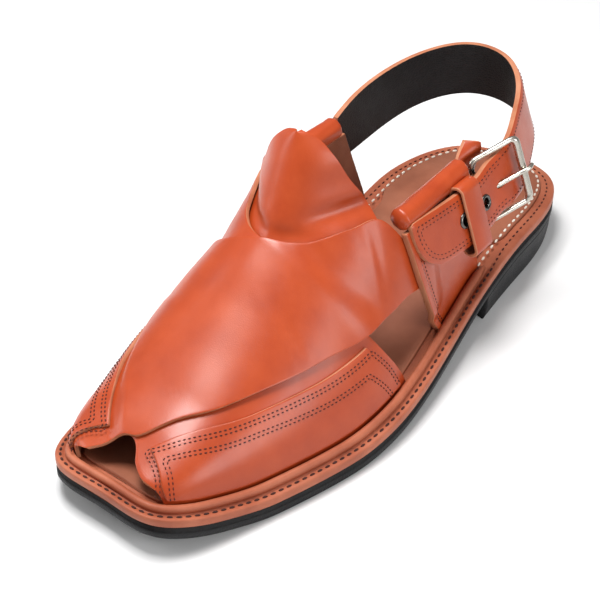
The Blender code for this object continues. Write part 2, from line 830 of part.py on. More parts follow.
def build_backstrap(finish, holes):
    middle, out, up = backstrap_path()
    lower, upper = strap_edges(run_length(middle))
    levels = np.linspace(0, 1, 4)
    thick = BACKSTRAP_THICKNESS / 2
    line = np.stack([middle + up * (lower * (1 - v) + upper * v)[:, None] for v in levels], 1)
    strap = sheet_solid("heel_strap", line + out[:, None] * thick, line - out[:, None] * thick, finish)
    for index, (centre, axis) in enumerate(holes):
        cutter = rod(f"eyelet cutter {index}", centre, axis, EYELET_HOLE + 0.0005 + GAP, 0.02, finish)
        cut(strap, cutter, "Eyelet hole")
    passage = swept_solid("pin cutter", tube(pin_path()[6:13], PIN_WIRE / 2 + 0.0006, 8), finish)
    cut(strap, passage, "Pin hole")
    return strap


def rod(name, centre, axis, radius, length, finish, sides=12):
    axis = unit(np.asarray(axis, float))
    path = [centre - axis * length / 2, centre + axis * length / 2]
    return swept_solid(name, tube(path, radius, sides), finish)


def build_eyelet(name, centre, axis, finish):
    """A metal ring through the strap with a flange on its outer face."""
    axis = unit(np.asarray(axis, float))
    flange = BACKSTRAP_THICKNESS / 2 + GAP
    profile = (
        (EYELET_HOLE, -flange),
        (EYELET_HOLE + 0.0005, -flange),
        (EYELET_HOLE + 0.0005, flange),
        (EYELET_RADIUS, flange),
        (EYELET_RADIUS - 0.0004, flange + 0.0005),
        (EYELET_HOLE, flange + 0.0005),
    )
    side = unit(np.cross(axis, (0.0, 0.0, 1.0)))
    above = np.cross(side, axis)
    turn = np.arange(14) * 2 * math.pi / 14
    sections = [
        [centre + (side * math.cos(a) + above * math.sin(a)) * r + axis * h for r, h in profile] for a in turn
    ]
    return swept_solid(name, np.array(sections), finish, closed=True)


def buckle_frame():
    """Centres of the buckle's hinge bar and end bar, its up direction, and the direction in which the strap
    faces."""
    hinge, hinge_out, up, _ = strap_at(HINGE_ALONG)
    end, end_out, _, _ = strap_at(BUCKLE_END_ALONG)
    return hinge - hinge_out * HINGE_INSET, end + end_out * END_STANDOFF, up, unit(hinge_out + end_out)


def build_buckle(finish):
    hinge, end, up, _ = buckle_frame()
    length = float(np.linalg.norm(end - hinge))
    along = (end - hinge) / length
    middle = (hinge + end) / 2
    loop = rounded_loop(length, BUCKLE_HEIGHT - BUCKLE_WIRE, BUCKLE_CORNER)
    path = np.array([middle + along * u + up * v for u, v in loop])
    facing = np.cross(along, up)
    return swept_solid("buckle_frame", tube(path, BUCKLE_WIRE / 2, 10, up=facing, closed=True), finish)


def pin_path():
    """The pin's middle line: round the hinge bar, out through the strap, and over the end bar."""
    hinge, end, up, out = buckle_frame()
    back = unit(end - hinge)
    back = unit(back - out * np.dot(back, out))
    turn = BUCKLE_WIRE / 2 + PIN_WIRE / 2 + 1.7 * GAP
    points = []
    for degrees in (205, 240, 275, 310, 345, 380, 415, 450):
        angle = math.radians(degrees)
        points.append(hinge - back * turn * math.cos(angle) + out * turn * math.sin(angle))
    start = points[-1]
    rest = end + out * (turn + 0.0007)
    for share in (0.2, 0.4, 0.6, 0.8, 1.0):
        points.append(start + (rest - start) * share)
    points.append(rest + back * 0.0032)
    return np.array(points)


def build_pin(finish):
    _, _, up, _ = buckle_frame()
    return swept_solid("buckle_pin", tube(pin_path(), PIN_WIRE / 2, 8, up=up), finish)


def build_chape(finish):
    """The leather that holds the buckle: from the outer quarter, round the hinge bar, with a slot for the pin."""
    hinge, end, up, out = buckle_frame()
    back = unit(end - hinge)
    back = unit(back - out * np.dot(back, out))
    turn = BUCKLE_WIRE / 2 + CHAPE_THICKNESS / 2 + GAP
    centres = []
    for degrees in (-75, -45, -15, 15, 45, 75, 105, 130):
        angle = math.radians(degrees)
        centres.append(hinge + back * turn * math.cos(angle) + out * turn * math.sin(angle))
    centres.insert(0, centres[0] - back * 0.0022)
    levels = np.linspace(-1, 1, 5) * CHAPE_WIDTH / 2
    grid = [[centre + up * v for v in levels] for centre in centres]
    landing = HINGE_ALONG + 0.060
    foot = []
    for reach in (0.0, 0.030):
        along = landing + reach
        heights = (hinge[2] + up[2] * levels) / INSTEP_RISE
        offset = np.full(len(levels), QUARTER_WALL - STRAP_WALL + 0.0008 + CHAPE_THICKNESS / 2)
        foot.append(beside_last(np.full(len(levels), along), heights, True, offset))
    top = np.array(grid[-1])
    grid.append(top * 0.5 + foot[0] * 0.5)
    grid.extend(foot)
    grid = np.array(grid)
    across = np.gradient(grid, axis=1)
    lengthwise = np.gradient(grid, axis=0)
    normal = unit(np.cross(across, lengthwise)) * CHAPE_THICKNESS / 2
    chape = sheet_solid("chape", grid + normal, grid - normal, finish)
    slot = swept_solid("chape cutter", tube(pin_path()[:12], CHAPE_SLOT / 2, 8, up=up), finish)
    cut(chape, slot, "Pin slot")
    return chape


def build_keeper(finish):
    """The loop that holds the free end of the back strap."""
    centre, out, up, run = strap_at(KEEPER_ALONG)
    depth = BACKSTRAP_THICKNESS + 2 * KEEPER_SLACK + KEEPER_THICKNESS
    centre = centre - up * KEEPER_DROP
    loop = rounded_loop(KEEPER_HEIGHT - KEEPER_THICKNESS, depth, depth * 0.45, steps=3)
    sections = []
    for k, (u, v) in enumerate(loop):
        before, after = loop[k - 1], loop[(k + 1) % len(loop)]
        edge = after - before
        normal = np.array((edge[1], -edge[0])) / np.linalg.norm(edge)
        inner = np.array((u, v)) - normal * KEEPER_THICKNESS / 2
        outer = np.array((u, v)) + normal * KEEPER_THICKNESS / 2
        section = []
        for (a, b), side in ((inner, -1), (outer, -1), (outer, 1), (inner, 1)):
            section.append(centre + up * a + out * b + run * side * KEEPER_WIDTH / 2)
        sections.append(section)
    return swept_solid("keeper", np.array(sections), finish, closed=True)


def build_guard(finish):
    heights = np.array([row[0] for row in GUARD])[:, None]
    front = np.array([row[1] for row in GUARD])[:, None]
    rear = np.array([row[2] for row in GUARD])[:, None]
    w = np.linspace(0, 1, 5)[None, :]
    along = front * (1 - w) + rear * w
    outside = beside_last(along, heights, True, np.full(along.shape, -STRAP_WALL - 2 * GAP))
    outside[..., 0] += GUARD_FLARE * smooth_step((heights - 0.80) / 0.2) * w
    return sheet_solid("guard_tab", outside, outside - np.array((GUARD_THICKNESS, 0.0, 0.0)), finish)


def main():
    for old in list(bpy.data.objects):
        bpy.data.objects.remove(old, do_unlink=True)
    rubber = material("black rubber", (0.012, 0.012, 0.013), 0.55)
    sole_leather = material("sole leather", (0.45, 0.15, 0.075), 0.5)
    insole_leather = material("insole leather", (0.42, 0.19, 0.10), 0.5)
    leather = material("orange tan leather", (0.52, 0.09, 0.025), 0.38)
    nickel = material("nickel", (0.75, 0.72, 0.66), 0.25, 1.0)

    build_outsole(rubber)
    build_heel(rubber)
    build_midsole(sole_leather)
    build_insole(insole_leather)
    build_rand(sole_leather)
    build_upper(leather)
    build_overlay("overlay_outer", True, leather)
    build_overlay("overlay_inner", False, leather)
    build_tongue(leather)
    build_quarter("quarter_outer", True, leather)
    build_quarter("quarter_inner", False, leather)
    build_collar("collar_outer", True, COLLAR_ALONG, leather)
    build_collar("collar_inner", False, INNER_COLLAR_ALONG, leather)
    holes = [strap_at(along)[:2] for along in EYELETS_ALONG]
    build_backstrap(leather, holes)
    for index, (centre, axis) in enumerate(holes):
        build_eyelet(f"eyelet_{index + 1}", centre, axis, nickel)
    build_buckle(nickel)
    build_pin(nickel)
    build_chape(leather)
    build_keeper(leather)
    build_guard(leather)


main()
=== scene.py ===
import math
import bmesh
import bpy
import numpy as np
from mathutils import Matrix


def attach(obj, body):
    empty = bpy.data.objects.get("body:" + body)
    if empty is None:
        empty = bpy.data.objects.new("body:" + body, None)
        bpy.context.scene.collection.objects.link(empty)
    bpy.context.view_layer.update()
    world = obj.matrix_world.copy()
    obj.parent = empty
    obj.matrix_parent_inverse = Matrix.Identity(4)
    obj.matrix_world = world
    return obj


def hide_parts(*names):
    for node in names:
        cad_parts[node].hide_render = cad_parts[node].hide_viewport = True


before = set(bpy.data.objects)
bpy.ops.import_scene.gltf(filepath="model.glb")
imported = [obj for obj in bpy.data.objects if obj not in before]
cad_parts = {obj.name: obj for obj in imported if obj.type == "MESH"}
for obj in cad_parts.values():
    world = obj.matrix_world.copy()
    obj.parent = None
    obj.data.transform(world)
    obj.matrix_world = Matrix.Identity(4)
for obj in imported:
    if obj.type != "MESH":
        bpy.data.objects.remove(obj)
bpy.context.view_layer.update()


# Studio. A plain pale floor under large soft lamps, with the camera where it stood for the photograph, turned
# and zoomed so that the shoe fills the frame.
def stand(name, data, spot, aim):
    """Puts a camera or a lamp at a spot, upright and turned to its aim."""
    made = bpy.data.objects.new(name, data)
    bpy.context.collection.objects.link(made)
    made.location = spot
    look = np.array(aim) - np.array(spot)
    pitch = math.atan2(look[2], math.hypot(look[0], look[1]))
    made.rotation_euler = (math.pi / 2 + pitch, 0.0, math.atan2(look[1], look[0]) - math.pi / 2)
    return made


AZIMUTH = math.radians(40.21)
ELEVATION = math.radians(37.86)
DISTANCE = 0.75485
PHOTOGRAPH_CENTRE = (-0.0698, -0.0017, 0.020)
SHOE_CENTRE = (-0.0090, -0.0165, 0.0320)
lens = bpy.data.cameras.new("camera")
lens.lens = 97.0
lens.clip_start = 0.01
level_share = math.cos(ELEVATION)
away = np.array((math.sin(AZIMUTH) * level_share, -math.cos(AZIMUTH) * level_share, math.sin(ELEVATION)))
camera_spot = np.array(PHOTOGRAPH_CENTRE) + away * DISTANCE
bpy.context.scene.camera = stand("camera", lens, camera_spot, SHOE_CENTRE)
for name, spot, aim, size, power in (
    ("overhead lamp", (-0.12, -0.06, 0.80), (0.0, -0.03, 0.04), (0.30, 0.30), 7.2),
    ("right lamp", (0.86, -0.08, 0.42), (0.0, 0.0, 0.04), (0.4, 0.4), 3.2),
    ("left lamp", (-0.75, -0.45, 0.45), (0.0, 0.0, 0.04), (0.35, 0.5), 2.2),
):
    lamp = bpy.data.lights.new(name, "AREA")
    lamp.shape = "RECTANGLE"
    lamp.size, lamp.size_y = size
    lamp.energy = power
    stand(name, lamp, spot, aim)
bpy.context.scene.view_settings.view_transform = "Standard"
world = bpy.data.worlds.new("studio")
world.use_nodes = True
world.node_tree.nodes["Background"].inputs["Color"].default_value = (1.0, 1.0, 1.0, 1.0)
world.node_tree.nodes["Background"].inputs["Strength"].default_value = 0.30
bpy.context.scene.world = world
floor_mesh = bpy.data.meshes.new("floor")
floor_mesh.from_pydata([(-4, -4, 0), (4, -4, 0), (4, 4, 0), (-4, 4, 0)], [], [(0, 1, 2, 3)])
pale = bpy.data.materials.new("pale floor")
pale.use_nodes = True
pale.node_tree.nodes["Principled BSDF"].inputs["Base Color"].default_value = (0.86, 0.86, 0.86, 1.0)
pale.node_tree.nodes["Principled BSDF"].inputs["Roughness"].default_value = 0.9
floor_mesh.materials.append(pale)
floor = bpy.data.objects.new("floor", floor_mesh)
bpy.context.collection.objects.link(floor)


# Outsole. Black rubber in two bands, a thin one set in above a wider one, glued under the midsole. Its edge
# gives the outline that every other layer of the sole follows, set in by its own margin.
LENGTH = 0.295
BALL_WIDTH = 0.114
HEEL_WIDTH = 0.080
INSTEP_RISE = 0.086
HEEL_LIFT = 0.0163
TOE_SPRING = 0.011
OUTSOLE_THICKNESS = 0.006
MIDSOLE_THICKNESS = 0.0045
GAP = 0.0003
OUTLINE = (
    # along, across
    (0.000, 0.040),
    (0.022, 0.368),
    (0.111, 0.526),
    (0.212, 0.561),
    (0.364, 0.517),
    (0.501, 0.496),
    (0.640, 0.515),
    (0.765, 0.449),
    (0.899, 0.320),
    (0.997, 0.151),
    (1.000, -0.076),
    (0.991, -0.305),
    (0.923, -0.419),
    (0.791, -0.483),
    (0.675, -0.481),
    (0.508, -0.393),
    (0.375, -0.360),
    (0.224, -0.438),
    (0.122, -0.411),
    (0.030, -0.261),
)
UNDERSIDE = (
    # along, heel, toe
    (0.00, 0.74, 0.0),
    (0.20, 1.00, 0.0),
    (0.32, 0.82, 0.0),
    (0.41, 0.58, 0.0),
    (0.52, 0.32, 0.0),
    (0.64, 0.10, 0.0),
    (0.72, 0.00, 0.0),
    (0.84, 0.00, 0.0),
    (0.92, 0.00, 0.32),
    (1.01, 0.00, 1.0),
)


def interpolate(rows, column):
    """A smooth curve through one column of a table, which never swings past its own rows."""
    knots = np.array([row[0] for row in rows], float)
    values = np.array([row[column] for row in rows], float)
    steps = np.diff(knots)
    slopes = np.diff(values) / steps
    inner = np.where(slopes[1:] * slopes[:-1] > 0, 2 * slopes[1:] * slopes[:-1], 0.0)
    inner = inner / np.where(inner == 0.0, 1.0, slopes[1:] + slopes[:-1])
    tangents = np.concatenate([slopes[:1], inner, slopes[-1:]])

    def at(position):
        x = np.clip(np.asarray(position, float), knots[0], knots[-1])
        i = np.clip(np.searchsorted(knots, x, side="right") - 1, 0, len(steps) - 1)
        u = (x - knots[i]) / steps[i]
        rise = 3 * u**2 - 2 * u**3
        return (
            values[i] * (1 - rise)
            + values[i + 1] * rise
            + steps[i] * (tangents[i] * u * (1 - u) ** 2 - tangents[i + 1] * u**2 * (1 - u))
        )

    return at


def spline(points, count, closed=False):
    """Points spread evenly by parameter along a cubic spline through the given points."""
    nodes = np.array(points, float)
    if closed:
        nodes = np.vstack([nodes, nodes[:1]])
    steps = np.sqrt(np.linalg.norm(np.diff(nodes, axis=0), axis=1))
    slopes = np.diff(nodes, axis=0) / steps[:, None]
    size = len(steps)
    bends = np.zeros_like(nodes)
    if closed:
        after = np.roll(np.eye(size), 1, axis=1) * steps[:, None]
        system = np.diag(2 * (np.roll(steps, 1) + steps)) + after + after.T
        bends[:-1] = np.linalg.solve(system, 6 * (slopes - np.roll(slopes, 1, axis=0)))
        bends[-1] = bends[0]
    elif size > 1:
        between = np.diag(steps[1:-1], 1) + np.diag(steps[1:-1], -1)
        bends[1:-1] = np.linalg.solve(
            np.diag(2 * (steps[:-1] + steps[1:])) + between, 6 * np.diff(slopes, axis=0)
        )
    at = np.linspace(0, size, count, endpoint=not closed)
    i = np.minimum(at.astype(int), size - 1)
    u = (at - i)[:, None]
    v = 1 - u
    bend = ((v**3 - v) * bends[i] + (u**3 - u) * bends[i + 1]) * steps[i][:, None] ** 2 / 6
    return nodes[i] * v + nodes[i + 1] * u + bend


def smooth_step(value):
    value = np.clip(value, 0.0, 1.0)
    return value * value * (3 - 2 * value)


def local_width(along):
    return HEEL_WIDTH + (BALL_WIDTH - HEEL_WIDTH) * smooth_step((along - 0.2) / 0.35)


def outline_points(count):
    """The sole's edge as (x, along), before it is centred."""
    control = [(across * local_width(along), along * LENGTH) for along, across in OUTLINE]
    ring = spline(control, count, closed=True)
    return ring[:, 0], ring[:, 1]


OUTLINE_STEPS = 720
EDGE_X, EDGE_Y = outline_points(OUTLINE_STEPS)
CENTRE_X = (EDGE_X.max() + EDGE_X.min()) / 2
MIDDLE_Y = (EDGE_Y.max() + EDGE_Y.min()) / 2


def unit(vectors):
    return vectors / np.maximum(np.linalg.norm(vectors, axis=-1, keepdims=True), 1e-12)


def inset_ring(margin):
    """The sole's edge moved inwards by a margin, which may differ from point to point, as (x, distance)."""
    x, distance = EDGE_X, EDGE_Y
    edge = np.stack([x, distance], -1)
    tangent = unit(np.roll(edge, -1, axis=0) - np.roll(edge, 1, axis=0))
    margin = margin(distance / LENGTH) if callable(margin) else margin
    return x - tangent[:, 1] * margin, distance + tangent[:, 0] * margin


heel_curve = interpolate(UNDERSIDE, 1)
toe_curve = interpolate(UNDERSIDE, 2)


def floor_gap(distance):
    """Height of the outsole's underside."""
    along = distance / LENGTH
    return HEEL_LIFT * heel_curve(along) + TOE_SPRING * toe_curve(along)


def sole_top(distance):
    return floor_gap(distance) + OUTSOLE_THICKNESS + GAP + MIDSOLE_THICKNESS


def place(x, distance, z):
    """World positions, centred over the sole, with the toe towards -Y."""
    return np.stack(np.broadcast_arrays(x - CENTRE_X, MIDDLE_Y - distance, z), -1)


def mottled(name, colour, dark, light, roughness, grain, pores, blotch=60.0):
    """A finish with slow stains in its colour, rubbed patches in its sheen and fine pores in its relief."""
    made = bpy.data.materials.new(name)
    made.use_nodes = True
    tree = made.node_tree
    shader = tree.nodes["Principled BSDF"]
    shader.inputs["Specular IOR Level"].default_value = 0.36
    where = tree.nodes.new("ShaderNodeTexCoord")

    def node(kind, **inputs):
        added = tree.nodes.new(kind)
        for socket, value in inputs.items():
            added.inputs[socket.replace("_", " ")].default_value = value
        if kind.startswith("ShaderNodeTex"):
            tree.links.new(where.outputs["Object"], added.inputs["Vector"])
        return added

    stains = node("ShaderNodeTexNoise", Scale=blotch, Detail=4.0, Roughness=0.55)
    rub = node("ShaderNodeTexNoise", Scale=blotch * 3.0, Detail=3.0, Roughness=0.55)
    fine = node("ShaderNodeTexNoise", Scale=pores * 0.6, Detail=5.0, Roughness=0.6)
    cells = node("ShaderNodeTexVoronoi", Scale=pores)
    cells.feature = "DISTANCE_TO_EDGE"
    ramp = node("ShaderNodeValToRGB")
    stops = ramp.color_ramp.elements
    stops[0].position, stops[1].position = 0.25, 0.75
    stops.new(0.5)
    for stop, shade in zip(stops, (dark, colour, light)):
        stop.color = (*shade, 1.0)
    span = node("ShaderNodeMapRange", To_Min=roughness - 0.06, To_Max=roughness + 0.08)
    edge = node("ShaderNodeMapRange", From_Max=0.18)
    mix = node("ShaderNodeMath")
    bump = node("ShaderNodeBump", Strength=grain, Distance=0.0003)
    for source, target in (
        (stains.outputs["Fac"], ramp.inputs["Fac"]),
        (ramp.outputs["Color"], shader.inputs["Base Color"]),
        (rub.outputs["Fac"], span.inputs["Value"]),
        (span.outputs["Result"], shader.inputs["Roughness"]),
        (cells.outputs["Distance"], edge.inputs["Value"]),
        (edge.outputs["Result"], mix.inputs[0]),
        (fine.outputs["Fac"], mix.inputs[1]),
        (mix.outputs["Value"], bump.inputs["Height"]),
        (bump.outputs["Normal"], shader.inputs["Normal"]),
    ):
        tree.links.new(source, target)
    return made


def finish_piece(name, vertices, faces, finishes, slots=None, round_rim=0.0):
    """A piece from points and faces, with its finish for each face and its rims rounded."""
    mesh = bpy.data.meshes.new(name)
    mesh.from_pydata([tuple(v) for v in vertices], [], faces)
    for finish in finishes:
        mesh.materials.append(finish)
    if slots is not None:
        mesh.polygons.foreach_set("material_index", np.asarray(slots, np.int32))
    model = bmesh.new()
    model.from_mesh(mesh)
    bmesh.ops.remove_doubles(model, verts=model.verts, dist=2e-6)
    bmesh.ops.recalc_face_normals(model, faces=model.faces)
    if model.calc_volume(signed=True) < 0:
        bmesh.ops.reverse_faces(model, faces=model.faces)
    model.to_mesh(mesh)
    model.free()
    mesh.shade_smooth()
    made = bpy.data.objects.new(name, mesh)
    bpy.context.collection.objects.link(made)
    if round_rim:
        bevel = made.modifiers.new("Rounded rims", "BEVEL")
        bevel.width = round_rim
        bevel.segments = 2
        bevel.limit_method = "ANGLE"
        bevel.angle_limit = math.radians(50.0)
    return made


def ride(piece, slot, *nodes):
    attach(piece, "root")
    if nodes:
        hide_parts(*nodes)


def ring_faces(count, sides, closed=False):
    """Faces over a row of rings with equal sides."""
    faces = []
    for k in range(count if closed else count - 1):
        low, high = k * sides, (k + 1) % count * sides
        for i in range(sides):
            j = (i + 1) % sides
            faces.append((low + i, low + j, high + j, high + i))
    return faces


def stacked(name, rings, finish):
    """A solid skinned over closed rings, each end closed by strips from one side to the other."""
    count = len(rings[0])
    faces = ring_faces(len(rings), count)
    for base in (0, (len(rings) - 1) * count):
        for i in range(count // 2):
            strip = [base + i, base + i + 1, base + (count - i - 1) % count, base + (count - i) % count]
            faces.append(tuple(dict.fromkeys(strip)))
    return finish_piece(name, np.concatenate(rings), faces, [finish])


OUTSOLE_STEP = 0.0009
OUTSOLE_BAND = 0.0024
EDGE_ROUND = 0.0008
rubber = mottled(
    "black rubber", (0.007, 0.007, 0.008), (0.004, 0.004, 0.005), (0.013, 0.013, 0.014), 0.55, 0.35, 700.0
)


def sole_ring(margin, height):
    x, distance = inset_ring(margin)
    return place(x, distance, floor_gap(distance) + height)


lower_band = OUTSOLE_THICKNESS - OUTSOLE_BAND
outsole = stacked(
    "outsole_rubber",
    [
        sole_ring(EDGE_ROUND, 0.0),
        sole_ring(EDGE_ROUND * 0.3, EDGE_ROUND * 0.3),
        sole_ring(0.0, EDGE_ROUND),
        sole_ring(0.0, lower_band - 0.0003),
        sole_ring(0.0003, lower_band),
        sole_ring(OUTSOLE_STEP, lower_band + 0.0002),
        sole_ring(OUTSOLE_STEP, OUTSOLE_THICKNESS),
        sole_ring(OUTSOLE_STEP + 0.0005, OUTSOLE_THICKNESS),
    ],
    rubber,
)
ride(outsole, "black rubber", "outsole")


# Heel. A block of the same rubber, glued under the back of the outsole, narrower at the floor, with a breast
# that curves back.
HEEL_BREAST_ALONG = 0.32
HEEL_BREAST_CURVE = 0.006
HEEL_TAPER = 0.0014
SIDE_STEPS = 60
BREAST_STEPS = 24


def sole_side(margin):
    """The inner and outer edges of the sole as functions of the distance, moved in by a margin."""
    x, distance = inset_ring(margin)
    heel, toe = int(distance.argmin()), int(distance.argmax())
    x, distance = np.roll(x, -heel), np.roll(distance, -heel)
    toe = (toe - heel) % OUTLINE_STEPS
    outer = slice(0, toe + 1)
    inner = slice(toe, OUTLINE_STEPS)
    return (
        lambda at: np.interp(at, distance[inner][::-1], x[inner][::-1]),
        lambda at: np.interp(at, distance[outer], x[outer]),
        float(distance.max()),
    )


def heel_loop(margin):
    inner, outer, _ = sole_side(margin)
    breast = HEEL_BREAST_ALONG * LENGTH
    back = float(inset_ring(margin)[1].min())
    reach = back + (breast - back) * (1 - np.cos(np.linspace(0, math.pi / 2, SIDE_STEPS)))
    outer_side = np.stack([outer(reach), reach], -1)
    inner_side = np.stack([inner(reach), reach], -1)[::-1]
    across = np.linspace(0, 1, BREAST_STEPS)[1:-1, None]
    front = outer_side[-1] * (1 - across) + inner_side[0] * across
    front[:, 1] -= HEEL_BREAST_CURVE * 4 * (across * (1 - across))[:, 0]
    return np.concatenate([outer_side, front, inner_side[:-1]])


def heel_ring(margin, height):
    loop = heel_loop(margin)
    z = floor_gap(loop[:, 1]) - GAP + height if height <= 0 else height
    return place(loop[:, 0], loop[:, 1], z)


heel_rings = [
    heel_ring(HEEL_TAPER + 0.0012, 1e-5),
    heel_ring(HEEL_TAPER + 0.0003, 0.0004),
    heel_ring(HEEL_TAPER, 0.0013),
    heel_ring(HEEL_TAPER * 0.55, 0.0060),
    heel_ring(0.0005, -0.0009),
    heel_ring(0.0003, -0.0004),
    heel_ring(0.0009, 0.0),
]
heel_count = len(heel_rings[0])
heel_faces = [*ring_faces(len(heel_rings), heel_count), tuple(range(heel_count))]
top = (len(heel_rings) - 1) * heel_count
for i in range(SIDE_STEPS - 1):
    corners = (top + i, top + i + 1, top + heel_count - i - 1, top + (heel_count - i) % heel_count)
    heel_faces.append(tuple(dict.fromkeys(corners)))
heel_faces.append(tuple(range(top + SIDE_STEPS - 1, top + SIDE_STEPS - 1 + BREAST_STEPS)))
heel = finish_piece("heel_block", np.concatenate(heel_rings), heel_faces, [rubber])
ride(heel, "black rubber", "heel")


# Midsole. Sole leather with a burnished edge, whose flat margin shows all round. A groove is cut beside the
# stitches of its forepart.
GROOVE_DEPTH = 0.0007
welt_leather = mottled(
    "welt leather", (0.42, 0.115, 0.055), (0.32, 0.075, 0.034), (0.50, 0.155, 0.080), 0.5, 0.16, 1700.0
)


def groove(along):
    return GROOVE_DEPTH * smooth_step((along - 0.27) / 0.04)


def midsole_ring(margin, height, cut=0.0):
    x, distance = inset_ring(margin)
    z = floor_gap(distance) + OUTSOLE_THICKNESS + GAP + height - cut * groove(distance / LENGTH)
    return place(x, distance, z)


TOP = MIDSOLE_THICKNESS
midsole = stacked(
    "midsole_leather",
    [
        midsole_ring(0.0006, 0.0),
        midsole_ring(0.0, 0.0006),
        midsole_ring(0.0, TOP - 0.0008),
        midsole_ring(0.0003, TOP - 0.0002),
        midsole_ring(0.0008, TOP),
        midsole_ring(0.0029, TOP),
        midsole_ring(0.0033, TOP, 0.8),
        midsole_ring(0.0037, TOP, 1.0),
        midsole_ring(0.0040, TOP, 0.5),
        midsole_ring(0.0044, TOP, 0.0),
    ],
    welt_leather,
)
ride(midsole, "sole leather", "midsole")


# Stitches. Each row is one thread that shows as short, slightly plump lengths. The node tree lays them along
# a path at a given pitch.
def thread(name, colour, dark):
    return mottled(name, colour, dark, colour, 0.7, 0.3, 3000.0)


red_thread = thread("dark red thread", (0.075, 0.014, 0.009), (0.04, 0.008, 0.006))
brown_thread = thread("brown thread", (0.055, 0.014, 0.010), (0.03, 0.008, 0.006))


def stitch_tree():
    tree = bpy.data.node_groups.new("Stitches", "GeometryNodeTree")
    socket = tree.interface.new_socket
    sizes = {}
    socket("Geometry", in_out="INPUT", socket_type="NodeSocketGeometry")
    for name in ("Pitch", "Length", "Width", "Height"):
        sizes[name] = socket(name, in_out="INPUT", socket_type="NodeSocketFloat").identifier
    sizes["Finish"] = socket("Finish", in_out="INPUT", socket_type="NodeSocketMaterial").identifier
    socket("Geometry", in_out="OUTPUT", socket_type="NodeSocketGeometry")
    given = tree.nodes.new("NodeGroupInput")
    curve = tree.nodes.new("GeometryNodeMeshToCurve")
    resample = tree.nodes.new("GeometryNodeResampleCurve")
    resample.mode = "LENGTH"
    tangent = tree.nodes.new("GeometryNodeInputTangent")
    aim = tree.nodes.new("FunctionNodeAlignEulerToVector")
    aim.axis = "X"
    bead = tree.nodes.new("GeometryNodeMeshUVSphere")
    bead.inputs["Segments"].default_value = 8
    bead.inputs["Rings"].default_value = 5
    bead.inputs["Radius"].default_value = 0.5
    scale = tree.nodes.new("ShaderNodeCombineXYZ")
    lay = tree.nodes.new("GeometryNodeInstanceOnPoints")
    real = tree.nodes.new("GeometryNodeRealizeInstances")
    paint = tree.nodes.new("GeometryNodeSetMaterial")
    out = tree.nodes.new("NodeGroupOutput")
    for source, output, target, entry in (
        (given, "Geometry", curve, "Mesh"),
        (curve, "Curve", resample, "Curve"),
        (given, "Pitch", resample, "Length"),
        (tangent, "Tangent", aim, "Vector"),
        (given, "Length", scale, "X"),
        (given, "Width", scale, "Y"),
        (given, "Height", scale, "Z"),
        (resample, "Curve", lay, "Points"),
        (bead, "Mesh", lay, "Instance"),
        (aim, "Rotation", lay, "Rotation"),
        (scale, "Vector", lay, "Scale"),
        (lay, "Instances", real, "Geometry"),
        (real, "Geometry", paint, "Geometry"),
        (given, "Finish", paint, "Material"),
        (paint, "Geometry", out, "Geometry"),
    ):
        tree.links.new(source.outputs[output], target.inputs[entry])
    return tree, sizes


STITCHES, STITCH_SIZES = stitch_tree()


def make_plain(piece):
    """Leaves a piece with the mesh that its modifiers give it."""
    bpy.context.view_layer.update()
    seen = piece.evaluated_get(bpy.context.evaluated_depsgraph_get())
    mesh = bpy.data.meshes.new_from_object(seen)
    piece.modifiers.clear()
    piece.data = mesh


def sew(name, paths, finish, pitch, length, width, slot, height=None):
    """Stitches along each path, as one plain mesh."""
    vertices, edges = [], []
    for path in paths:
        start = len(vertices)
        vertices.extend(tuple(p) for p in path)
        edges.extend((start + i, start + i + 1) for i in range(len(path) - 1))
    line = bpy.data.meshes.new(name)
    line.from_pydata(vertices, edges, [])
    row = bpy.data.objects.new(name, line)
    bpy.context.collection.objects.link(row)
    stitched = row.modifiers.new("Stitches", "NODES")
    stitched.node_group = STITCHES
    given = {"Pitch": pitch, "Length": length, "Width": width, "Height": height or width, "Finish": finish}
    for key, value in given.items():
        stitched[STITCH_SIZES[key]] = value
    make_plain(row)
    row.data.shade_smooth()
    ride(row, slot)


def edge_path(margin, height, start, end, wrap=True):
    """A path beside the sole's edge, round the toe from a share of the length on the outer side to one on the
    inner side. Without wrap it runs round the heel instead."""
    x, distance = inset_ring(margin)
    toe = int(distance.argmax())
    if wrap:
        first = int(np.argmax(distance > start * LENGTH))
        last = toe + int(np.argmax(distance[toe:] < end * LENGTH))
        pick = np.arange(first, last)
    else:
        first = toe + int(np.argmax(distance[toe:] < start * LENGTH))
        last = int(np.argmax(distance > end * LENGTH))
        pick = np.concatenate([np.arange(first, OUTLINE_STEPS), np.arange(0, last)])
    return place(x[pick], distance[pick], sole_top(distance[pick]) - GAP + height)


def heel_drift(along):
    """The stitches stand further in round the heel."""
    return 0.0037 - 0.0015 * smooth_step((along - 0.24) / 0.08)


ON_TOP = 0.0003
fore_row = edge_path(heel_drift, ON_TOP, 0.30, 0.30)
heel_row = edge_path(heel_drift, ON_TOP, 0.29, 0.29, wrap=False)
sew("welt_stitches", [fore_row], brown_thread, 0.0038, 0.0027, 0.0012, "sole leather")
sew("heel_seat_stitches", [heel_row], red_thread, 0.0036, 0.0023, 0.0009, "sole leather")


# Rand. A strip of the welt's leather rolled into a bead, sewn round the forepart between the groove and the
# upper. Its two ends are pared thin.
RAND_MARGIN = 0.0041
RAND_WIDTH = 0.0040
RAND_HEIGHT = 0.0030
RAND_END_ALONG = 0.30
RAND_STEPS = 420


def skinned(rings, closed=False):
    """Points and faces of a body over equal rings, which close in a loop or end in flat faces."""
    count, sides = rings.shape[:2]
    faces = ring_faces(count, sides, closed)
    if not closed:
        faces += [tuple(range(sides - 1, -1, -1)), tuple(range((count - 1) * sides, count * sides))]
    return rings.reshape(-1, 3), faces


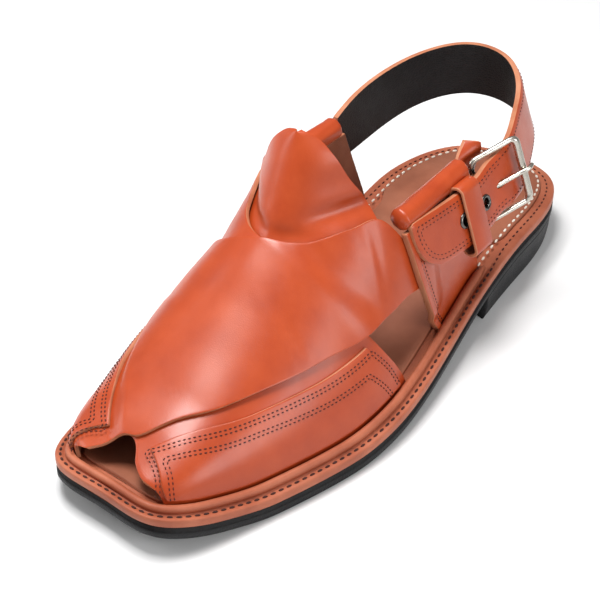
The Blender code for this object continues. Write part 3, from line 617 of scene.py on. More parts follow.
rand_x, rand_distance = inset_ring(RAND_MARGIN + RAND_WIDTH / 2)
rand_start = int(np.argmax(rand_distance > RAND_END_ALONG * LENGTH))
rand_toe = int(rand_distance.argmax())
rand_end = rand_toe + int(np.argmax(rand_distance[rand_toe:] < RAND_END_ALONG * LENGTH))
pick = np.linspace(rand_start, rand_end, RAND_STEPS).astype(int)
rand_line = place(rand_x[pick], rand_distance[pick], 0.0)
rand_side = unit(np.cross(unit(np.gradient(rand_line, axis=0)), (0.0, 0.0, 1.0)))
turns = np.linspace(math.pi, 0.0, 13)
from_end = np.minimum(np.arange(RAND_STEPS), np.arange(RAND_STEPS)[::-1])
taper = np.minimum(1.0, 0.35 + from_end / 9.0)[:, None, None]
rings = (
    rand_line[:, None]
    + rand_side[:, None] * (np.cos(turns) * RAND_WIDTH / 2)[None, :, None] * taper
    + np.array((0.0, 0.0, 1.0)) * (np.sin(turns) ** 0.8 * RAND_HEIGHT)[None, :, None] * taper
)
rings[..., 2] += sole_top(MIDDLE_Y - rings[..., 1]) + GAP
rand = finish_piece("rand_bead", *skinned(rings), [welt_leather])
ride(rand, "sole leather", "rand")


# Insole. A smooth leather sock glued on the midsole and sewn down round the heel with coarse white thread.
# Wide, faint stains run through its colour.
UPPER_MARGIN = 0.0085
STRAP_WALL = 0.0018
INSOLE_THICKNESS = 0.0015
INSOLE_HEEL_MARGIN = 0.0068
sock_leather = mottled(
    "sock leather", (0.31, 0.100, 0.052), (0.22, 0.064, 0.032), (0.39, 0.140, 0.078), 0.55, 0.14, 1900.0, 35.0
)
white_thread = thread("white thread", (0.85, 0.78, 0.68), (0.62, 0.52, 0.42))


def insole_margin(along):
    forefoot = UPPER_MARGIN + STRAP_WALL + 4 * GAP
    return INSOLE_HEEL_MARGIN + (forefoot - INSOLE_HEEL_MARGIN) * smooth_step((along - 0.22) / 0.05)


def insole_ring(extra, height):
    x, distance = inset_ring(lambda along: insole_margin(along) + extra)
    return place(x, distance, sole_top(distance) + GAP + height)


insole = stacked(
    "insole_sock",
    [
        insole_ring(0.0, 0.0),
        insole_ring(0.0, INSOLE_THICKNESS - 0.0007),
        insole_ring(0.0002, INSOLE_THICKNESS - 0.0002),
        insole_ring(0.0007, INSOLE_THICKNESS),
    ],
    sock_leather,
)
ride(insole, "insole leather", "insole")
sock_height = 2 * GAP + INSOLE_THICKNESS + 0.0002
white_row = edge_path(0.0081, sock_height, 0.285, 0.31, wrap=False)
sew("sock_stitches", [white_row], white_thread, 0.0044, 0.0027, 0.0011, "insole leather")


# Crossed straps. Two wide straps of one pattern, mirrored: the one from the inner toe lies over the other.
# Each is a leather sheet with a lighter cut edge, moulded over the last, with soft creases over the ball.
LAST = (
    # along, rise, lean, fullness
    (0.27, 0.977, 0.105, 0.50),
    (0.31, 0.977, 0.114, 0.50),
    (0.38, 0.977, 0.123, 0.55),
    (0.44, 0.988, 0.132, 0.62),
    (0.51, 1.000, 0.132, 0.77),
    (0.56, 0.930, 0.123, 0.94),
    (0.59, 0.866, 0.123, 1.03),
    (0.63, 0.779, 0.118, 1.12),
    (0.68, 0.686, 0.108, 1.09),
    (0.73, 0.581, 0.088, 1.02),
    (0.78, 0.483, 0.070, 0.95),
    (0.85, 0.360, 0.047, 0.82),
    (0.90, 0.267, 0.035, 0.68),
    (0.93, 0.198, 0.029, 0.57),
    (0.97, 0.105, 0.026, 0.50),
)
STRAP = (
    # front_along, front_across, rear_along, rear_across
    (0.966, 0.000, 0.560, 0.000),
    (0.967, 0.330, 0.600, 0.130),
    (0.955, 0.455, 0.630, 0.270),
    (0.925, 0.502, 0.642, 0.380),
    (0.885, 0.570, 0.639, 0.460),
    (0.831, 0.680, 0.627, 0.560),
    (0.742, 0.765, 0.607, 0.620),
    (0.661, 0.810, 0.563, 0.680),
    (0.573, 0.862, 0.519, 0.735),
    (0.480, 0.930, 0.490, 0.830),
)
INNER_EDGE, OUTER_EDGE, LAST_TOE = sole_side(UPPER_MARGIN)
rise_curve = interpolate(LAST, 1)
lean_curve = interpolate(LAST, 2)
fullness_curve = interpolate(LAST, 3)


def last_point(along, across):
    """A point on the last, at a share of the sole's length and a share of the way over the foot."""
    along, across = np.broadcast_arrays(np.asarray(along, float), np.asarray(across, float))
    distance = np.minimum(along * LENGTH, LAST_TOE - 1e-4)
    inner, outer = INNER_EDGE(distance), OUTER_EDGE(distance)
    angle = math.pi * np.clip(across, 0.0, 1.0)
    fullness = fullness_curve(along)
    level = np.maximum(np.sin(angle), 1e-9) ** fullness
    reach = np.sign(np.cos(angle)) * np.abs(np.cos(angle)) ** fullness
    x = (inner + outer) / 2 - (outer - inner) / 2 * reach - lean_curve(along) * BALL_WIDTH * level
    return place(x, distance, sole_top(distance) + INSTEP_RISE * rise_curve(along) * level)


def last_normal(along, across):
    step = 0.004
    across = np.clip(across, step, 1 - step)
    along = np.minimum(along, LAST_TOE / LENGTH - step)
    lengthwise = last_point(along + step, across) - last_point(along - step, across)
    crosswise = last_point(along, across + step) - last_point(along, across - step)
    return unit(np.cross(lengthwise, crosswise))


def over_last(along, across, offset):
    """A point held off the last by an offset. Its foot stays just clear of the sole."""
    along, across = np.broadcast_arrays(np.asarray(along, float), np.asarray(across, float))
    point = last_point(along, across)
    point = point + last_normal(along, across) * np.asarray(offset)[..., None]
    seat = sole_top(MIDDLE_Y - point[..., 1]) + GAP
    point[..., 2] = np.where((across <= 0.0) | (across >= 1.0), seat, np.maximum(point[..., 2], seat))
    return point


def across_at(along, height, outer):
    """Where one side of the last reaches a height over the sole, given as a share of the instep's rise."""
    level = np.clip(height / rise_curve(along), 0.0, 0.999)
    angle = np.arcsin(level ** (1 / fullness_curve(along)))
    return 1 - angle / math.pi if outer else angle / math.pi


def beside_last(along, height, outer, offset):
    """A point beside the last at a height over the ground, as a share of the instep's rise."""
    along, height = np.broadcast_arrays(np.asarray(along, float), np.asarray(height, float))
    over_sole = height - sole_top(along * LENGTH) / INSTEP_RISE
    return over_last(along, across_at(along, over_sole, outer), offset)


numbered = [(i, *row) for i, row in enumerate(STRAP)]
front_along, front_across, rear_along, rear_across = (interpolate(numbered, k) for k in (1, 2, 3, 4))


def strap_grid(rows, columns):
    """Shares along and across the last for one strap, whose foot is at 0 across."""
    u = np.linspace(0, len(STRAP) - 1, rows)[:, None]
    w = np.linspace(0, 1, columns)[None, :]
    along = front_along(u) * (1 - w) + rear_along(u) * w
    return along, front_across(u) * (1 - w) + rear_across(u) * w


def strap_lift(along, across):
    """How far the top strap is raised, from 0 where it lies on the foot to 1 over the lower strap."""
    reach = 0.035
    steps = np.linspace(0, len(STRAP) - 1, 120)
    below = 1 - across
    front = np.interp(below, front_across(steps), front_along(steps))
    rear = np.interp(below, rear_across(steps), rear_along(steps))
    return smooth_step((front + reach - along) / reach) * smooth_step((along - rear + reach) / reach)


tan = mottled(
    "tan leather", (0.44, 0.056, 0.010), (0.38, 0.043, 0.007), (0.49, 0.070, 0.015), 0.36, 0.10, 1500.0
)
tan.node_tree.nodes["Principled BSDF"].inputs["Coat Weight"].default_value = 0.30
tan.node_tree.nodes["Principled BSDF"].inputs["Coat Roughness"].default_value = 0.24
cut_edge = mottled("cut edge", (0.50, 0.19, 0.095), (0.38, 0.11, 0.05), (0.60, 0.26, 0.15), 0.6, 0.2, 2600.0)
lining = mottled(
    "tan lining", (0.24, 0.075, 0.035), (0.17, 0.05, 0.024), (0.31, 0.105, 0.052), 0.65, 0.3, 1800.0
)


def sheet(name, outside, inside, rim=0.0005, back=lining):
    """A leather sheet between two grids: its face, its back and its cut edge are three finishes."""
    rows, columns = outside.shape[:2]
    half = rows * columns
    faces, slots = [], []
    for i in range(rows - 1):
        for j in range(columns - 1):
            a = i * columns + j
            b, c, d = a + 1, a + columns + 1, a + columns
            faces.append((a, b, c, d))
            faces.append((half + d, half + c, half + b, half + a))
            slots += [0, 1]
    edge = [(0, j) for j in range(columns)] + [(i, columns - 1) for i in range(1, rows)]
    edge += [(rows - 1, j) for j in range(columns - 2, -1, -1)] + [(i, 0) for i in range(rows - 2, 0, -1)]
    for (i, j), (k, m) in zip(edge, edge[1:] + edge[:1]):
        a, b = i * columns + j, k * columns + m
        faces.append((a, half + a, half + b, b))
        slots.append(2)
    points = np.concatenate([outside.reshape(-1, 3), inside.reshape(-1, 3)])
    return finish_piece(name, points, faces, [tan, back, cut_edge], slots, rim)


CREASES = (
    # along, across, length_along, width, depth: soft troughs over the ball of the foot and beside the throat
    (0.600, 0.60, 0.050, 0.010, 0.00035),
    (0.590, 0.44, 0.060, 0.012, 0.00030),
    (0.700, 0.70, 0.030, 0.008, 0.00030),
    (0.720, 0.30, 0.035, 0.008, 0.00030),
    (0.545, 0.78, 0.030, 0.007, 0.00025),
)


def crease_depth(along, across):
    total = np.zeros(np.broadcast(along, across).shape)
    for at, side, reach, width, depth in CREASES:
        apart = across - side
        slant = along - at - 0.18 * apart
        total = total - depth * np.exp(-((slant / width) ** 2) - (apart / (2.2 * reach)) ** 2)
        total = total + 0.6 * depth * np.exp(-(((slant - 1.8 * width) / width) ** 2) - (apart / 0.1) ** 2)
    return total


TOP_LOOSENESS = 1.12
strap_along, strap_across = strap_grid(150, 60)
raised = strap_lift(strap_along, strap_across) * STRAP_WALL * TOP_LOOSENESS
for name, around, lift, nodes in (
    ("strap_under", 1 - strap_across, 0.0, ["upper"]),
    ("strap_top", strap_across, raised, []),
):
    offset = lift + crease_depth(strap_along, around)
    outside = over_last(strap_along, around, offset)
    strap = sheet(name, outside, over_last(strap_along, around, offset - STRAP_WALL))
    ride(strap, "tan leather", *nodes)


# Toe overlays. A thin leather panel low on each strap, with a cut edge, held by two double rows of fine dark
# stitches that turn its corners.
OVERLAY = (
    # along, across
    (0.928, 0.450),
    (0.900, 0.385),
    (0.870, 0.325),
    (0.820, 0.245),
    (0.740, 0.190),
    (0.680, 0.165),
    (0.620, 0.150),
)
OVERLAY_FOOT_FRONT = 0.962
OVERLAY_FOOT_REAR = 0.580
OVERLAY_THICKNESS = 0.0010
# Each row turns two corners, so it is three runs: up the front, back along the top, and down the rear.
OUTER_ROW = (
    # along, across from the strap's foot
    ((0.9665, 0.100), (0.9600, 0.210), (0.9480, 0.330), (0.9360, 0.428)),
    ((0.9350, 0.437), (0.8860, 0.302), (0.8200, 0.212), (0.7420, 0.166), (0.6780, 0.143), (0.6180, 0.131)),
    ((0.6170, 0.129), (0.6000, 0.075), (0.5900, 0.030)),
)
INNER_ROW = (
    ((0.9540, 0.060), (0.9490, 0.160), (0.9400, 0.260), (0.9320, 0.340)),
    ((0.9310, 0.348), (0.8800, 0.222), (0.8100, 0.162), (0.7300, 0.124), (0.6360, 0.102)),
    ((0.6350, 0.100), (0.6190, 0.060), (0.6090, 0.026)),
)


def overlay_grid(rows, columns):
    corners = [(i, *row) for i, row in enumerate(OVERLAY)]
    u = np.linspace(0, len(OVERLAY) - 1, rows)[:, None]
    top_along, top_across = interpolate(corners, 1)(u), interpolate(corners, 2)(u)
    share = u / u[-1]
    foot_along = OVERLAY_FOOT_FRONT + (OVERLAY_FOOT_REAR - OVERLAY_FOOT_FRONT) * share
    foot_across = across_at(foot_along, (RAND_HEIGHT + 3 * GAP) / INSTEP_RISE, False)
    w = np.linspace(0, 1, columns)[None, :]
    bow = w ** (1 + 1.4 * (1 - smooth_step(3 * share)))
    return foot_along * (1 - bow) + top_along * bow, foot_across * (1 - w) + top_across * w


def strap_path(row, outer, above, count=420):
    """A path over a strap's overlay, with the surface's outward direction at each point."""
    runs = np.concatenate([spline(run, 60) for run in row])
    steps = np.concatenate([[0.0], np.cumsum(np.linalg.norm(np.diff(runs * (1.0, 0.4), axis=0), axis=1))])
    even = np.linspace(0, steps[-1], count)
    along, across = np.interp(even, steps, runs[:, 0]), np.interp(even, steps, runs[:, 1])
    lift = np.zeros(count) if outer else strap_lift(along, across) * STRAP_WALL
    around = 1 - across if outer else across
    return over_last(along, around, lift + above), last_normal(along, around)


def beside(path, normals, shift):
    tangent = unit(np.gradient(path, axis=0))
    return path + unit(np.cross(normals, tangent)) * shift


OVERLAY_SEAT = 2.5 * GAP
ROW_SPACING = 0.0016
for side, outer in (("outer", True), ("inner", False)):
    along, across = overlay_grid(110, 30)
    around = 1 - across if outer else across
    lift = np.zeros_like(along) if outer else strap_lift(along, across) * STRAP_WALL
    panel = sheet(
        f"overlay_{side}_panel",
        over_last(along, around, lift + OVERLAY_SEAT + OVERLAY_THICKNESS),
        over_last(along, around, lift - 0.0002),
        rim=0.0004,
    )
    ride(panel, "tan leather", f"overlay_{side}")
    rows = []
    for row in (OUTER_ROW, INNER_ROW):
        path, normals = strap_path(row, outer, OVERLAY_SEAT + OVERLAY_THICKNESS + 0.00005)
        rows += [path, beside(path, normals, ROW_SPACING if outer else -ROW_SPACING)]
    sew(f"overlay_{side}_stitches", rows, red_thread, 0.0021, 0.0013, 0.0007, "tan leather", 0.0005)


# Tongue. One rounded leaf of the same leather with a cut edge, sewn under both straps, that stands up and
# curls back over the instep.
TONGUE_THICKNESS = 0.0018
TONGUE_HEIGHT = 0.0395
TONGUE_WIDTH = 0.0190
TONGUE_DEPTH = 0.0360
TONGUE_INNER_SHARE = 0.92
TONGUE = (
    # height, half_width, depth
    (0.00, 1.50, 1.00),
    (0.20, 1.38, 0.88),
    (0.40, 1.17, 0.66),
    (0.60, 0.98, 0.46),
    (0.78, 0.81, 0.30),
    (0.92, 0.68, 0.18),
    (1.00, 0.62, 0.06),
)


def throat_point(q):
    """The line where the tongue leaves the straps, from the inner side at -1 to the outer side at 1."""
    across = 0.505 + 0.262 * q
    along = 0.628 - 0.108 * np.abs(q) ** 1.6
    return along, across


def tongue_grid(columns, between):
    q = np.linspace(-1, 1, columns)
    under = -(STRAP_WALL + 3 * GAP)
    rows = []
    along, across = throat_point(q)
    for ahead, narrower in ((0.15, 0.45), (0.10, 0.72), (0.05, 0.90), (0.0, 1.0)):
        position = np.minimum(along + ahead * (1 + 0.4 * np.abs(q)), 0.80)
        rows.append(over_last(position, 0.505 + (across - 0.505) * narrower, np.full(q.shape, under)))
    middle = rows[-1][len(q) // 2]
    tip = middle + np.array((-0.0015, 0.0220, TONGUE_HEIGHT))
    width, depth = interpolate(TONGUE, 1), interpolate(TONGUE, 2)
    side = np.where(q < 0, TONGUE_INNER_SHARE, 0.96) * q
    for share in (0.15, 0.3, 0.45, 0.6, 0.71, 0.80, 0.87, 0.92, 0.955, 0.98, 0.993, 0.999):
        centre = middle + (tip - middle) * share
        round_top = math.sqrt(1 - max(0.0, (share - 0.66) / 0.34) ** 2)
        x = centre[0] + TONGUE_WIDTH * width(share) * round_top * side
        flatter = np.where(q < 0, 1 - 0.32 * smooth_step(share / 0.35), 1.0)
        y = centre[1] + TONGUE_DEPTH * depth(share) * np.abs(q) ** 2.1 * flatter
        rows.append(np.stack([x, y, np.full(q.shape, centre[2])], -1))
    flat = np.array(rows).reshape(len(rows), -1)
    return spline(flat, (len(rows) - 1) * between + 1).reshape(-1, columns, 3)


tongue_outside = tongue_grid(61, 6)
tongue_normal = unit(np.cross(np.gradient(tongue_outside, axis=1), np.gradient(tongue_outside, axis=0)))
tongue_normal = tongue_normal * -np.sign(tongue_normal[..., 1].mean())
CLOSE_ROWS = 4
tongue_normal[-CLOSE_ROWS:] = tongue_normal[-CLOSE_ROWS - 1]
tongue_inside = tongue_outside - tongue_normal * TONGUE_THICKNESS
tongue = sheet("tongue_leaf", tongue_outside, tongue_inside, rim=0.0004)
ride(tongue, "tan leather", "tongue")


# Quarters. The two sides of the back: leather with a tan lining, sewn to the sole's edge, with the front edge
# folded in and stitched down. Each lies over the end of a strap.
QUARTER_EDGES = (
    # height, outer_front, inner_front, outer_rear, inner_rear
    (0.00, 0.451, 0.454, 0.304, 0.292),
    (0.25, 0.475, 0.466, 0.311, 0.299),
    (0.50, 0.488, 0.473, 0.318, 0.309),
    (0.75, 0.495, 0.482, 0.323, 0.320),
    (1.00, 0.497, 0.496, 0.327, 0.332),
)
QUARTER_WALL = 0.0020
QUARTER_TOP = 0.865
SEAM_STEPS = 200
SEAM_SEAT = 0.00012


def quarter_column(outer):
    front = 1 if outer else 2
    rear = 3 if outer else 4
    return interpolate(QUARTER_EDGES, front), interpolate(QUARTER_EDGES, rear)


def quarter_surface(share, w, outer, above):
    front, rear = quarter_column(outer)
    along = front(share) * (1 - w) + rear(share) * w
    height = share * (QUARTER_TOP - sole_top(along * LENGTH) / INSTEP_RISE)
    across = across_at(along, height, outer)
    over_strap = smooth_step((along - 0.42) / 0.04) * smooth_step((height - 0.10) / 0.08)
    inside = -STRAP_WALL + (STRAP_WALL + GAP) * over_strap
    across = np.where(height == 0.0, 1.0 if outer else 0.0, across)
    return over_last(along, across, inside + above)


for side, outer in (("outer", True), ("inner", False)):
    share, w = np.linspace(0, 1, 48)[:, None], np.linspace(0, 1, 72)[None, :]
    front, rear = quarter_column(outer)
    wide = np.maximum((front(share) - rear(share)) * LENGTH, 0.01)
    fold = 0.0013 * (1 - smooth_step((w * wide - 0.0032) / 0.0009)) * smooth_step(share / 0.04)
    swell = 0.0003 * np.sin(np.pi * w) * np.sin(np.pi * share)
    quarter = sheet(
        f"quarter_{side}_panel",
        quarter_surface(share, w, outer, QUARTER_WALL + fold + swell),
        quarter_surface(share, w, outer, np.zeros_like(share * w)),
        rim=0.0006,
    )
    ride(quarter, "tan leather", f"quarter_{side}")
    steps = np.linspace(0.03, 0.985, SEAM_STEPS)
    wide = (front(steps) - rear(steps)) * LENGTH
    seams = [0.0044 / wide, 0.0062 / wide] + ([] if outer else [1 - 0.0028 / wide])
    rows = [quarter_surface(steps, at, outer, np.full(SEAM_STEPS, QUARTER_WALL + SEAM_SEAT)) for at in seams]
    along_top = np.linspace(0.08, 0.96, SEAM_STEPS)
    near_top = np.full(SEAM_STEPS, 0.955)
    rows.append(quarter_surface(near_top, along_top, outer, np.full(SEAM_STEPS, QUARTER_WALL + 0.0002)))
    sew(f"quarter_{side}_stitches", rows, red_thread, 0.0021, 0.0013, 0.0007, "tan leather", 0.0005)


# Collars. Thin leather rolled round a foam cord and sewn along the top of each quarter. The roll is full, and
# puckers softly along its length where the leather is gathered at its ends.
COLLAR_RADIUS = 0.0044
COLLAR_FULL = 0.0054
COLLAR_ALONG = (0.495, 0.326)
INNER_COLLAR_ALONG = (0.495, 0.345)
COLLAR_STEPS = 120


def tube(path, radius, sides, up=(0.0, 0.0, 1.0), closed=False):
    """Round sections along a path."""
    path = np.asarray(path, float)
    if closed:
        tangent = unit(np.roll(path, -1, 0) - np.roll(path, 1, 0))
    else:
        tangent = unit(np.gradient(path, axis=0))
    side = unit(np.cross(tangent, np.broadcast_to(up, path.shape)))
    above = np.cross(side, tangent)
    turn = np.arange(sides) * 2 * math.pi / sides
    radius = np.broadcast_to(radius, (len(path),))[:, None, None]
    circle = np.cos(turn)[None, :, None] * side[:, None] + np.sin(turn)[None, :, None] * above[:, None]
    return path[:, None] + radius * circle


for side, outer, ends in (("outer", True, COLLAR_ALONG), ("inner", False, INNER_COLLAR_ALONG)):
    along = np.linspace(*ends, COLLAR_STEPS)
    height = QUARTER_TOP + (COLLAR_RADIUS + 2 * GAP) / INSTEP_RISE
    path = beside_last(along, height, outer, np.full(COLLAR_STEPS, 0.0006))
    share = np.linspace(0, 1, COLLAR_STEPS)
    close = np.minimum(share, 1 - share) * np.linalg.norm(path[0] - path[-1])
    round_end = np.sqrt(np.clip(1 - (1 - np.clip(close / (0.6 * COLLAR_RADIUS), 0, 1)) ** 2, 0.02, 1))
    rings = tube(path, COLLAR_FULL * round_end, 48)
    turn = np.linspace(0, 2 * math.pi, 48, endpoint=False)[None, :]
    s = share[:, None]
    pucker = 0.00010 * np.sin(4 * turn + 1.5 * np.sin(2.2 * math.pi * s) + 2 * s)
    pucker = pucker + 0.00008 * np.sin(8 * turn - 2 * s + np.sin(5.0 * s))
    pucker = pucker + 0.00010 * np.sin(30 * s + 2 * turn) * (1 - np.sin(math.pi * s)) ** 2
    outwards = unit(rings - path[:, None])
    rings = rings + outwards * (pucker - 0.0003)[..., None] * round_end[:, None, None]
    collar = finish_piece(f"collar_{side}_roll", *skinned(rings), [tan])
    ride(collar, "tan leather", f"collar_{side}")


# Back strap. One long leather strap with a black grained lining, from the inner quarter round the heel and
# through the buckle and the keeper to its rounded tip. Its edges are cut, and stitches hold the lining.
BACKSTRAP = (
    # across, along, height, lean_degrees
    (-0.452, 0.338, 0.805, 3.0),
    (-0.438, 0.268, 0.850, -6.0),
    (-0.362, 0.163, 0.899, -5.0),
    (-0.115, 0.099, 0.967, -1.5),
    (0.128, 0.080, 0.933, 7.5),
    (0.326, 0.119, 0.895, 17.5),
    (0.440, 0.181, 0.864, 19.5),
    (0.529, 0.254, 0.834, 20.5),
)
TIP = (
    # along, height, standoff
    (0.300, 0.805, 0.0108),
    (0.330, 0.780, 0.0104),
    (0.400, 0.775, 0.0084),
    (0.492, 0.790, 0.0050),
)
BACKSTRAP_WIDTH = 0.0262
BACKSTRAP_THICKNESS = 0.0032
TIP_WIDTH = 0.0250
TIP_ROUND = 0.0200
HINGE_ALONG = 0.312
BUCKLE_END_ALONG = 0.250
EYELETS_ALONG = (0.383, 0.3315, 0.225)
BUCKLE_WIRE = 0.0025
HINGE_INSET = 0.0055
END_STANDOFF = 0.0055
PIN_WIRE = 0.0020
EYELET_HOLE = 0.0021
black_lining = mottled(
    "black lining", (0.005, 0.005, 0.006), (0.003, 0.003, 0.003), (0.010, 0.010, 0.011), 0.5, 0.7, 900.0
)


def backstrap_path(count=58):
    """Middle line, outward direction and upward direction of the back strap, from the inner quarter round the
    heel and through the buckle to its tip."""
    points = []
    for across, along, height, lean in BACKSTRAP:
        points.append((across * HEEL_WIDTH, along * LENGTH, height * INSTEP_RISE, lean))
    for along, height, standoff in TIP:
        surface = beside_last(along, height, True, standoff)
        points.append((surface[0] + CENTRE_X, along * LENGTH, height * INSTEP_RISE, 20.0))
    line = spline(np.array(points) * (1, 1, 1, 1e-3), count) * (1, 1, 1, 1e3)
    middle = place(line[:, 0], line[:, 1], line[:, 2])
    flat = unit(np.gradient(middle[:, :2], axis=0))
    outward = np.stack([-flat[:, 1], flat[:, 0], np.zeros(count)], -1)
    lean = np.radians(line[:, 3])[:, None]
    up = np.cos(lean) * np.array((0.0, 0.0, 1.0)) - np.sin(lean) * outward
    out = np.cos(lean) * outward + np.sin(lean) * np.array((0.0, 0.0, 1.0))
    return middle, out, up


def strap_edges(run):
    """Lower and upper edge of the back strap from its middle line. The tip's lower corner is a wide round."""
    left = run[-1] - run
    half = BACKSTRAP_WIDTH / 2 + (TIP_WIDTH - BACKSTRAP_WIDTH) / 2 * smooth_step(1 - (left - 0.05) / 0.03)
    low = np.clip(1 - left / TIP_ROUND, 0.0, 1.0)
    high = np.clip(1 - left / 0.002, 0.0, 1.0)
    lower = -half + 1.75 * half * (1 - (1 - 0.98 * low**2.4) ** (1 / 2.4))
    return lower, half - 0.0015 * high**2


def strap_at(along):
    """Middle point of the back strap's outer side at a distance from the heel, with its outward and up
    directions and the direction in which it runs."""
    middle, out, up = backstrap_path(400)
    distance = MIDDLE_Y - middle[:, 1]
    outer = np.arange(len(distance)) > int(distance.argmin())
    k = int(np.argmin(np.where(outer, np.abs(distance - along * LENGTH), 1.0)))
    run = unit(middle[k + 1] - middle[k - 1])
    return middle[k], out[k], up[k], run


def buckle_frame():
    """Centres of the buckle's hinge bar and end bar, its up direction, and the direction in which the strap
    faces."""
    hinge, hinge_out, up, _ = strap_at(HINGE_ALONG)
    end, end_out, _, _ = strap_at(BUCKLE_END_ALONG)
    return hinge - hinge_out * HINGE_INSET, end + end_out * END_STANDOFF, up, unit(hinge_out + end_out)


def pin_path():
    """The pin's middle line: round the hinge bar, out through the strap, and over the end bar."""
    hinge, end, up, out = buckle_frame()
    back = unit(end - hinge)
    back = unit(back - out * np.dot(back, out))
    turn = BUCKLE_WIRE / 2 + PIN_WIRE / 2 + 1.7 * GAP
    points = []
    for degrees in (205, 240, 275, 310, 345, 380, 415, 450):
        angle = math.radians(degrees)
        points.append(hinge - back * turn * math.cos(angle) + out * turn * math.sin(angle))
    start = points[-1]
    rest = end + out * (turn + 0.0007)
    for share in (0.2, 0.4, 0.6, 0.8, 1.0):
        points.append(start + (rest - start) * share)
    points.append(rest + back * 0.0032)
    return np.array(points)


middle, out, up = backstrap_path(420)
run = np.concatenate([[0.0], np.cumsum(np.linalg.norm(np.diff(middle, axis=0), axis=1))])
lower, upper = strap_edges(run)
levels = np.linspace(0, 1, 25)
thick = BACKSTRAP_THICKNESS / 2
width = (lower[:, None] * (1 - levels) + upper[:, None] * levels)[..., None]
line = middle[:, None] + up[:, None] * width
from_edge = np.minimum(levels, 1 - levels)[None, :] * (upper - lower)[:, None]
from_edge = np.minimum(from_edge, (run[-1] - run)[:, None])
pillow = thick - 0.0007 * (1 - np.clip(from_edge / 0.0035, 0, 1)) ** 2
strap = sheet(
    "heel_strap_leather",
    line + out[:, None] * pillow[..., None],
    line - out[:, None] * (thick - 0.0002),
    rim=0.0004,
    back=black_lining,
)


def punch(piece, *tubes):
    """Cuts a hole through a piece along each row of round sections."""
    cutters = [finish_piece("punch", *skinned(rings), [cut_edge]) for rings in tubes]
    for cutter in cutters:
        taken = piece.modifiers.new("Hole", "BOOLEAN")
        taken.operation = "DIFFERENCE"
        taken.solver = "EXACT"
        taken.object = cutter
    make_plain(piece)
    for cutter in cutters:
        bpy.data.objects.remove(cutter, do_unlink=True)


PUNCH_REACH = 0.01
holes = [strap_at(along)[:2] for along in EYELETS_ALONG]
eyelet_holes = [
    tube([centre - unit(axis) * PUNCH_REACH, centre + unit(axis) * PUNCH_REACH], EYELET_HOLE + 0.0007, 32)
    for centre, axis in holes
]
punch(strap, *eyelet_holes, tube(pin_path()[6:13], PIN_WIRE / 2 + 0.0005, 16))
ride(strap, "tan leather", "heel_strap")
strap_outline = np.concatenate(
    [
        np.stack([run, lower], -1),
        np.linspace((run[-1], lower[-1]), (run[-1], upper[-1]), 60)[1:-1],
        np.stack([run, upper], -1)[::-1],
    ]
)


def strap_row(inset, start):
    """A row on the strap's face, at an inset from its edge, up one side, round the tip and back."""
    tangent = unit(np.gradient(strap_outline, axis=0))
    moved = strap_outline + np.stack([-tangent[:, 1], tangent[:, 0]], -1) * inset
    apart = np.linalg.norm(moved[:, None] - strap_outline[None], axis=-1).min(axis=1)
    at, level = moved[(apart > inset * 0.985) & (moved[:, 0] > start)].T
    spot, face, rise = (
        np.stack([np.interp(at, run, v[:, i]) for i in range(3)], -1) for v in (middle, out, up)
    )
    return spot + rise * level[:, None] + unit(face) * (thick - 0.00015)


rows = [strap_row(0.0024, 0.004), strap_row(0.0043, run[-1] - 0.062)]
sew("heel_strap_stitches", rows, red_thread, 0.0024, 0.0015, 0.0008, "tan leather", 0.0005)


# Eyelets, buckle and pin. Nickel-plated: dark rings pressed through the strap, a frame bent from round wire,
# and a pin wrapped round its hinge bar, which lies over the thicker far bar.
EYELET_RADIUS = 0.0038
EYELET_SIDES = 48
BUCKLE_HEIGHT = 0.0332
BUCKLE_CORNER = 0.0030
END_BAR_SWELL = 0.0005


def plated(name, colour, dark, light):
    made = mottled(name, colour, dark, light, 0.26, 0.03, 2200.0)
    made.node_tree.nodes["Principled BSDF"].inputs["Metallic"].default_value = 1.0
    return made


nickel = plated("nickel", (0.56, 0.53, 0.47), (0.44, 0.41, 0.35), (0.64, 0.61, 0.55))
dark_nickel = plated("dark nickel", (0.16, 0.15, 0.14), (0.08, 0.075, 0.07), (0.26, 0.25, 0.23))
for k, (centre, axis) in enumerate(holes):
    axis = unit(axis)
    flange = BACKSTRAP_THICKNESS / 2 + 0.0001
    profile = [
        (EYELET_HOLE, -flange - 0.0002),
        (EYELET_HOLE + 0.0006, -flange - 0.0002),
        (EYELET_HOLE + 0.0006, flange),
        (EYELET_RADIUS, flange),
        (EYELET_RADIUS - 0.0001, flange + 0.0003),
        (EYELET_RADIUS - 0.0006, flange + 0.0007),
        (EYELET_HOLE + 0.0008, flange + 0.0008),
        (EYELET_HOLE + 0.0002, flange + 0.0005),
        (EYELET_HOLE, flange),
    ]
    side = unit(np.cross(axis, (0.0, 0.0, 1.0)))
    above = np.cross(side, axis)
    rings = []
    for turn in range(EYELET_SIDES):
        angle = turn * 2 * math.pi / EYELET_SIDES
        spoke = side * math.cos(angle) + above * math.sin(angle)
        rings.append([centre + spoke * radius + axis * height for radius, height in profile])
    eyelet = finish_piece(f"eyelet_ring_{k + 1}", *skinned(np.array(rings), closed=True), [dark_nickel])
    ride(eyelet, "nickel", f"eyelet_{k + 1}")


def rounded_loop(width, height, corner, steps):
    """A rectangle with round corners, as (u, v) points about its middle."""
    points = []
    for quarter in range(4):
        cx = (width / 2 - corner) * (1 if quarter in (0, 3) else -1)
        cy = (height / 2 - corner) * (1 if quarter in (0, 1) else -1)
        for k in range(steps + 1):
            angle = math.pi / 2 * (quarter + k / steps)
            points.append((cx + corner * math.cos(angle), cy + corner * math.sin(angle)))
    return np.array(points)


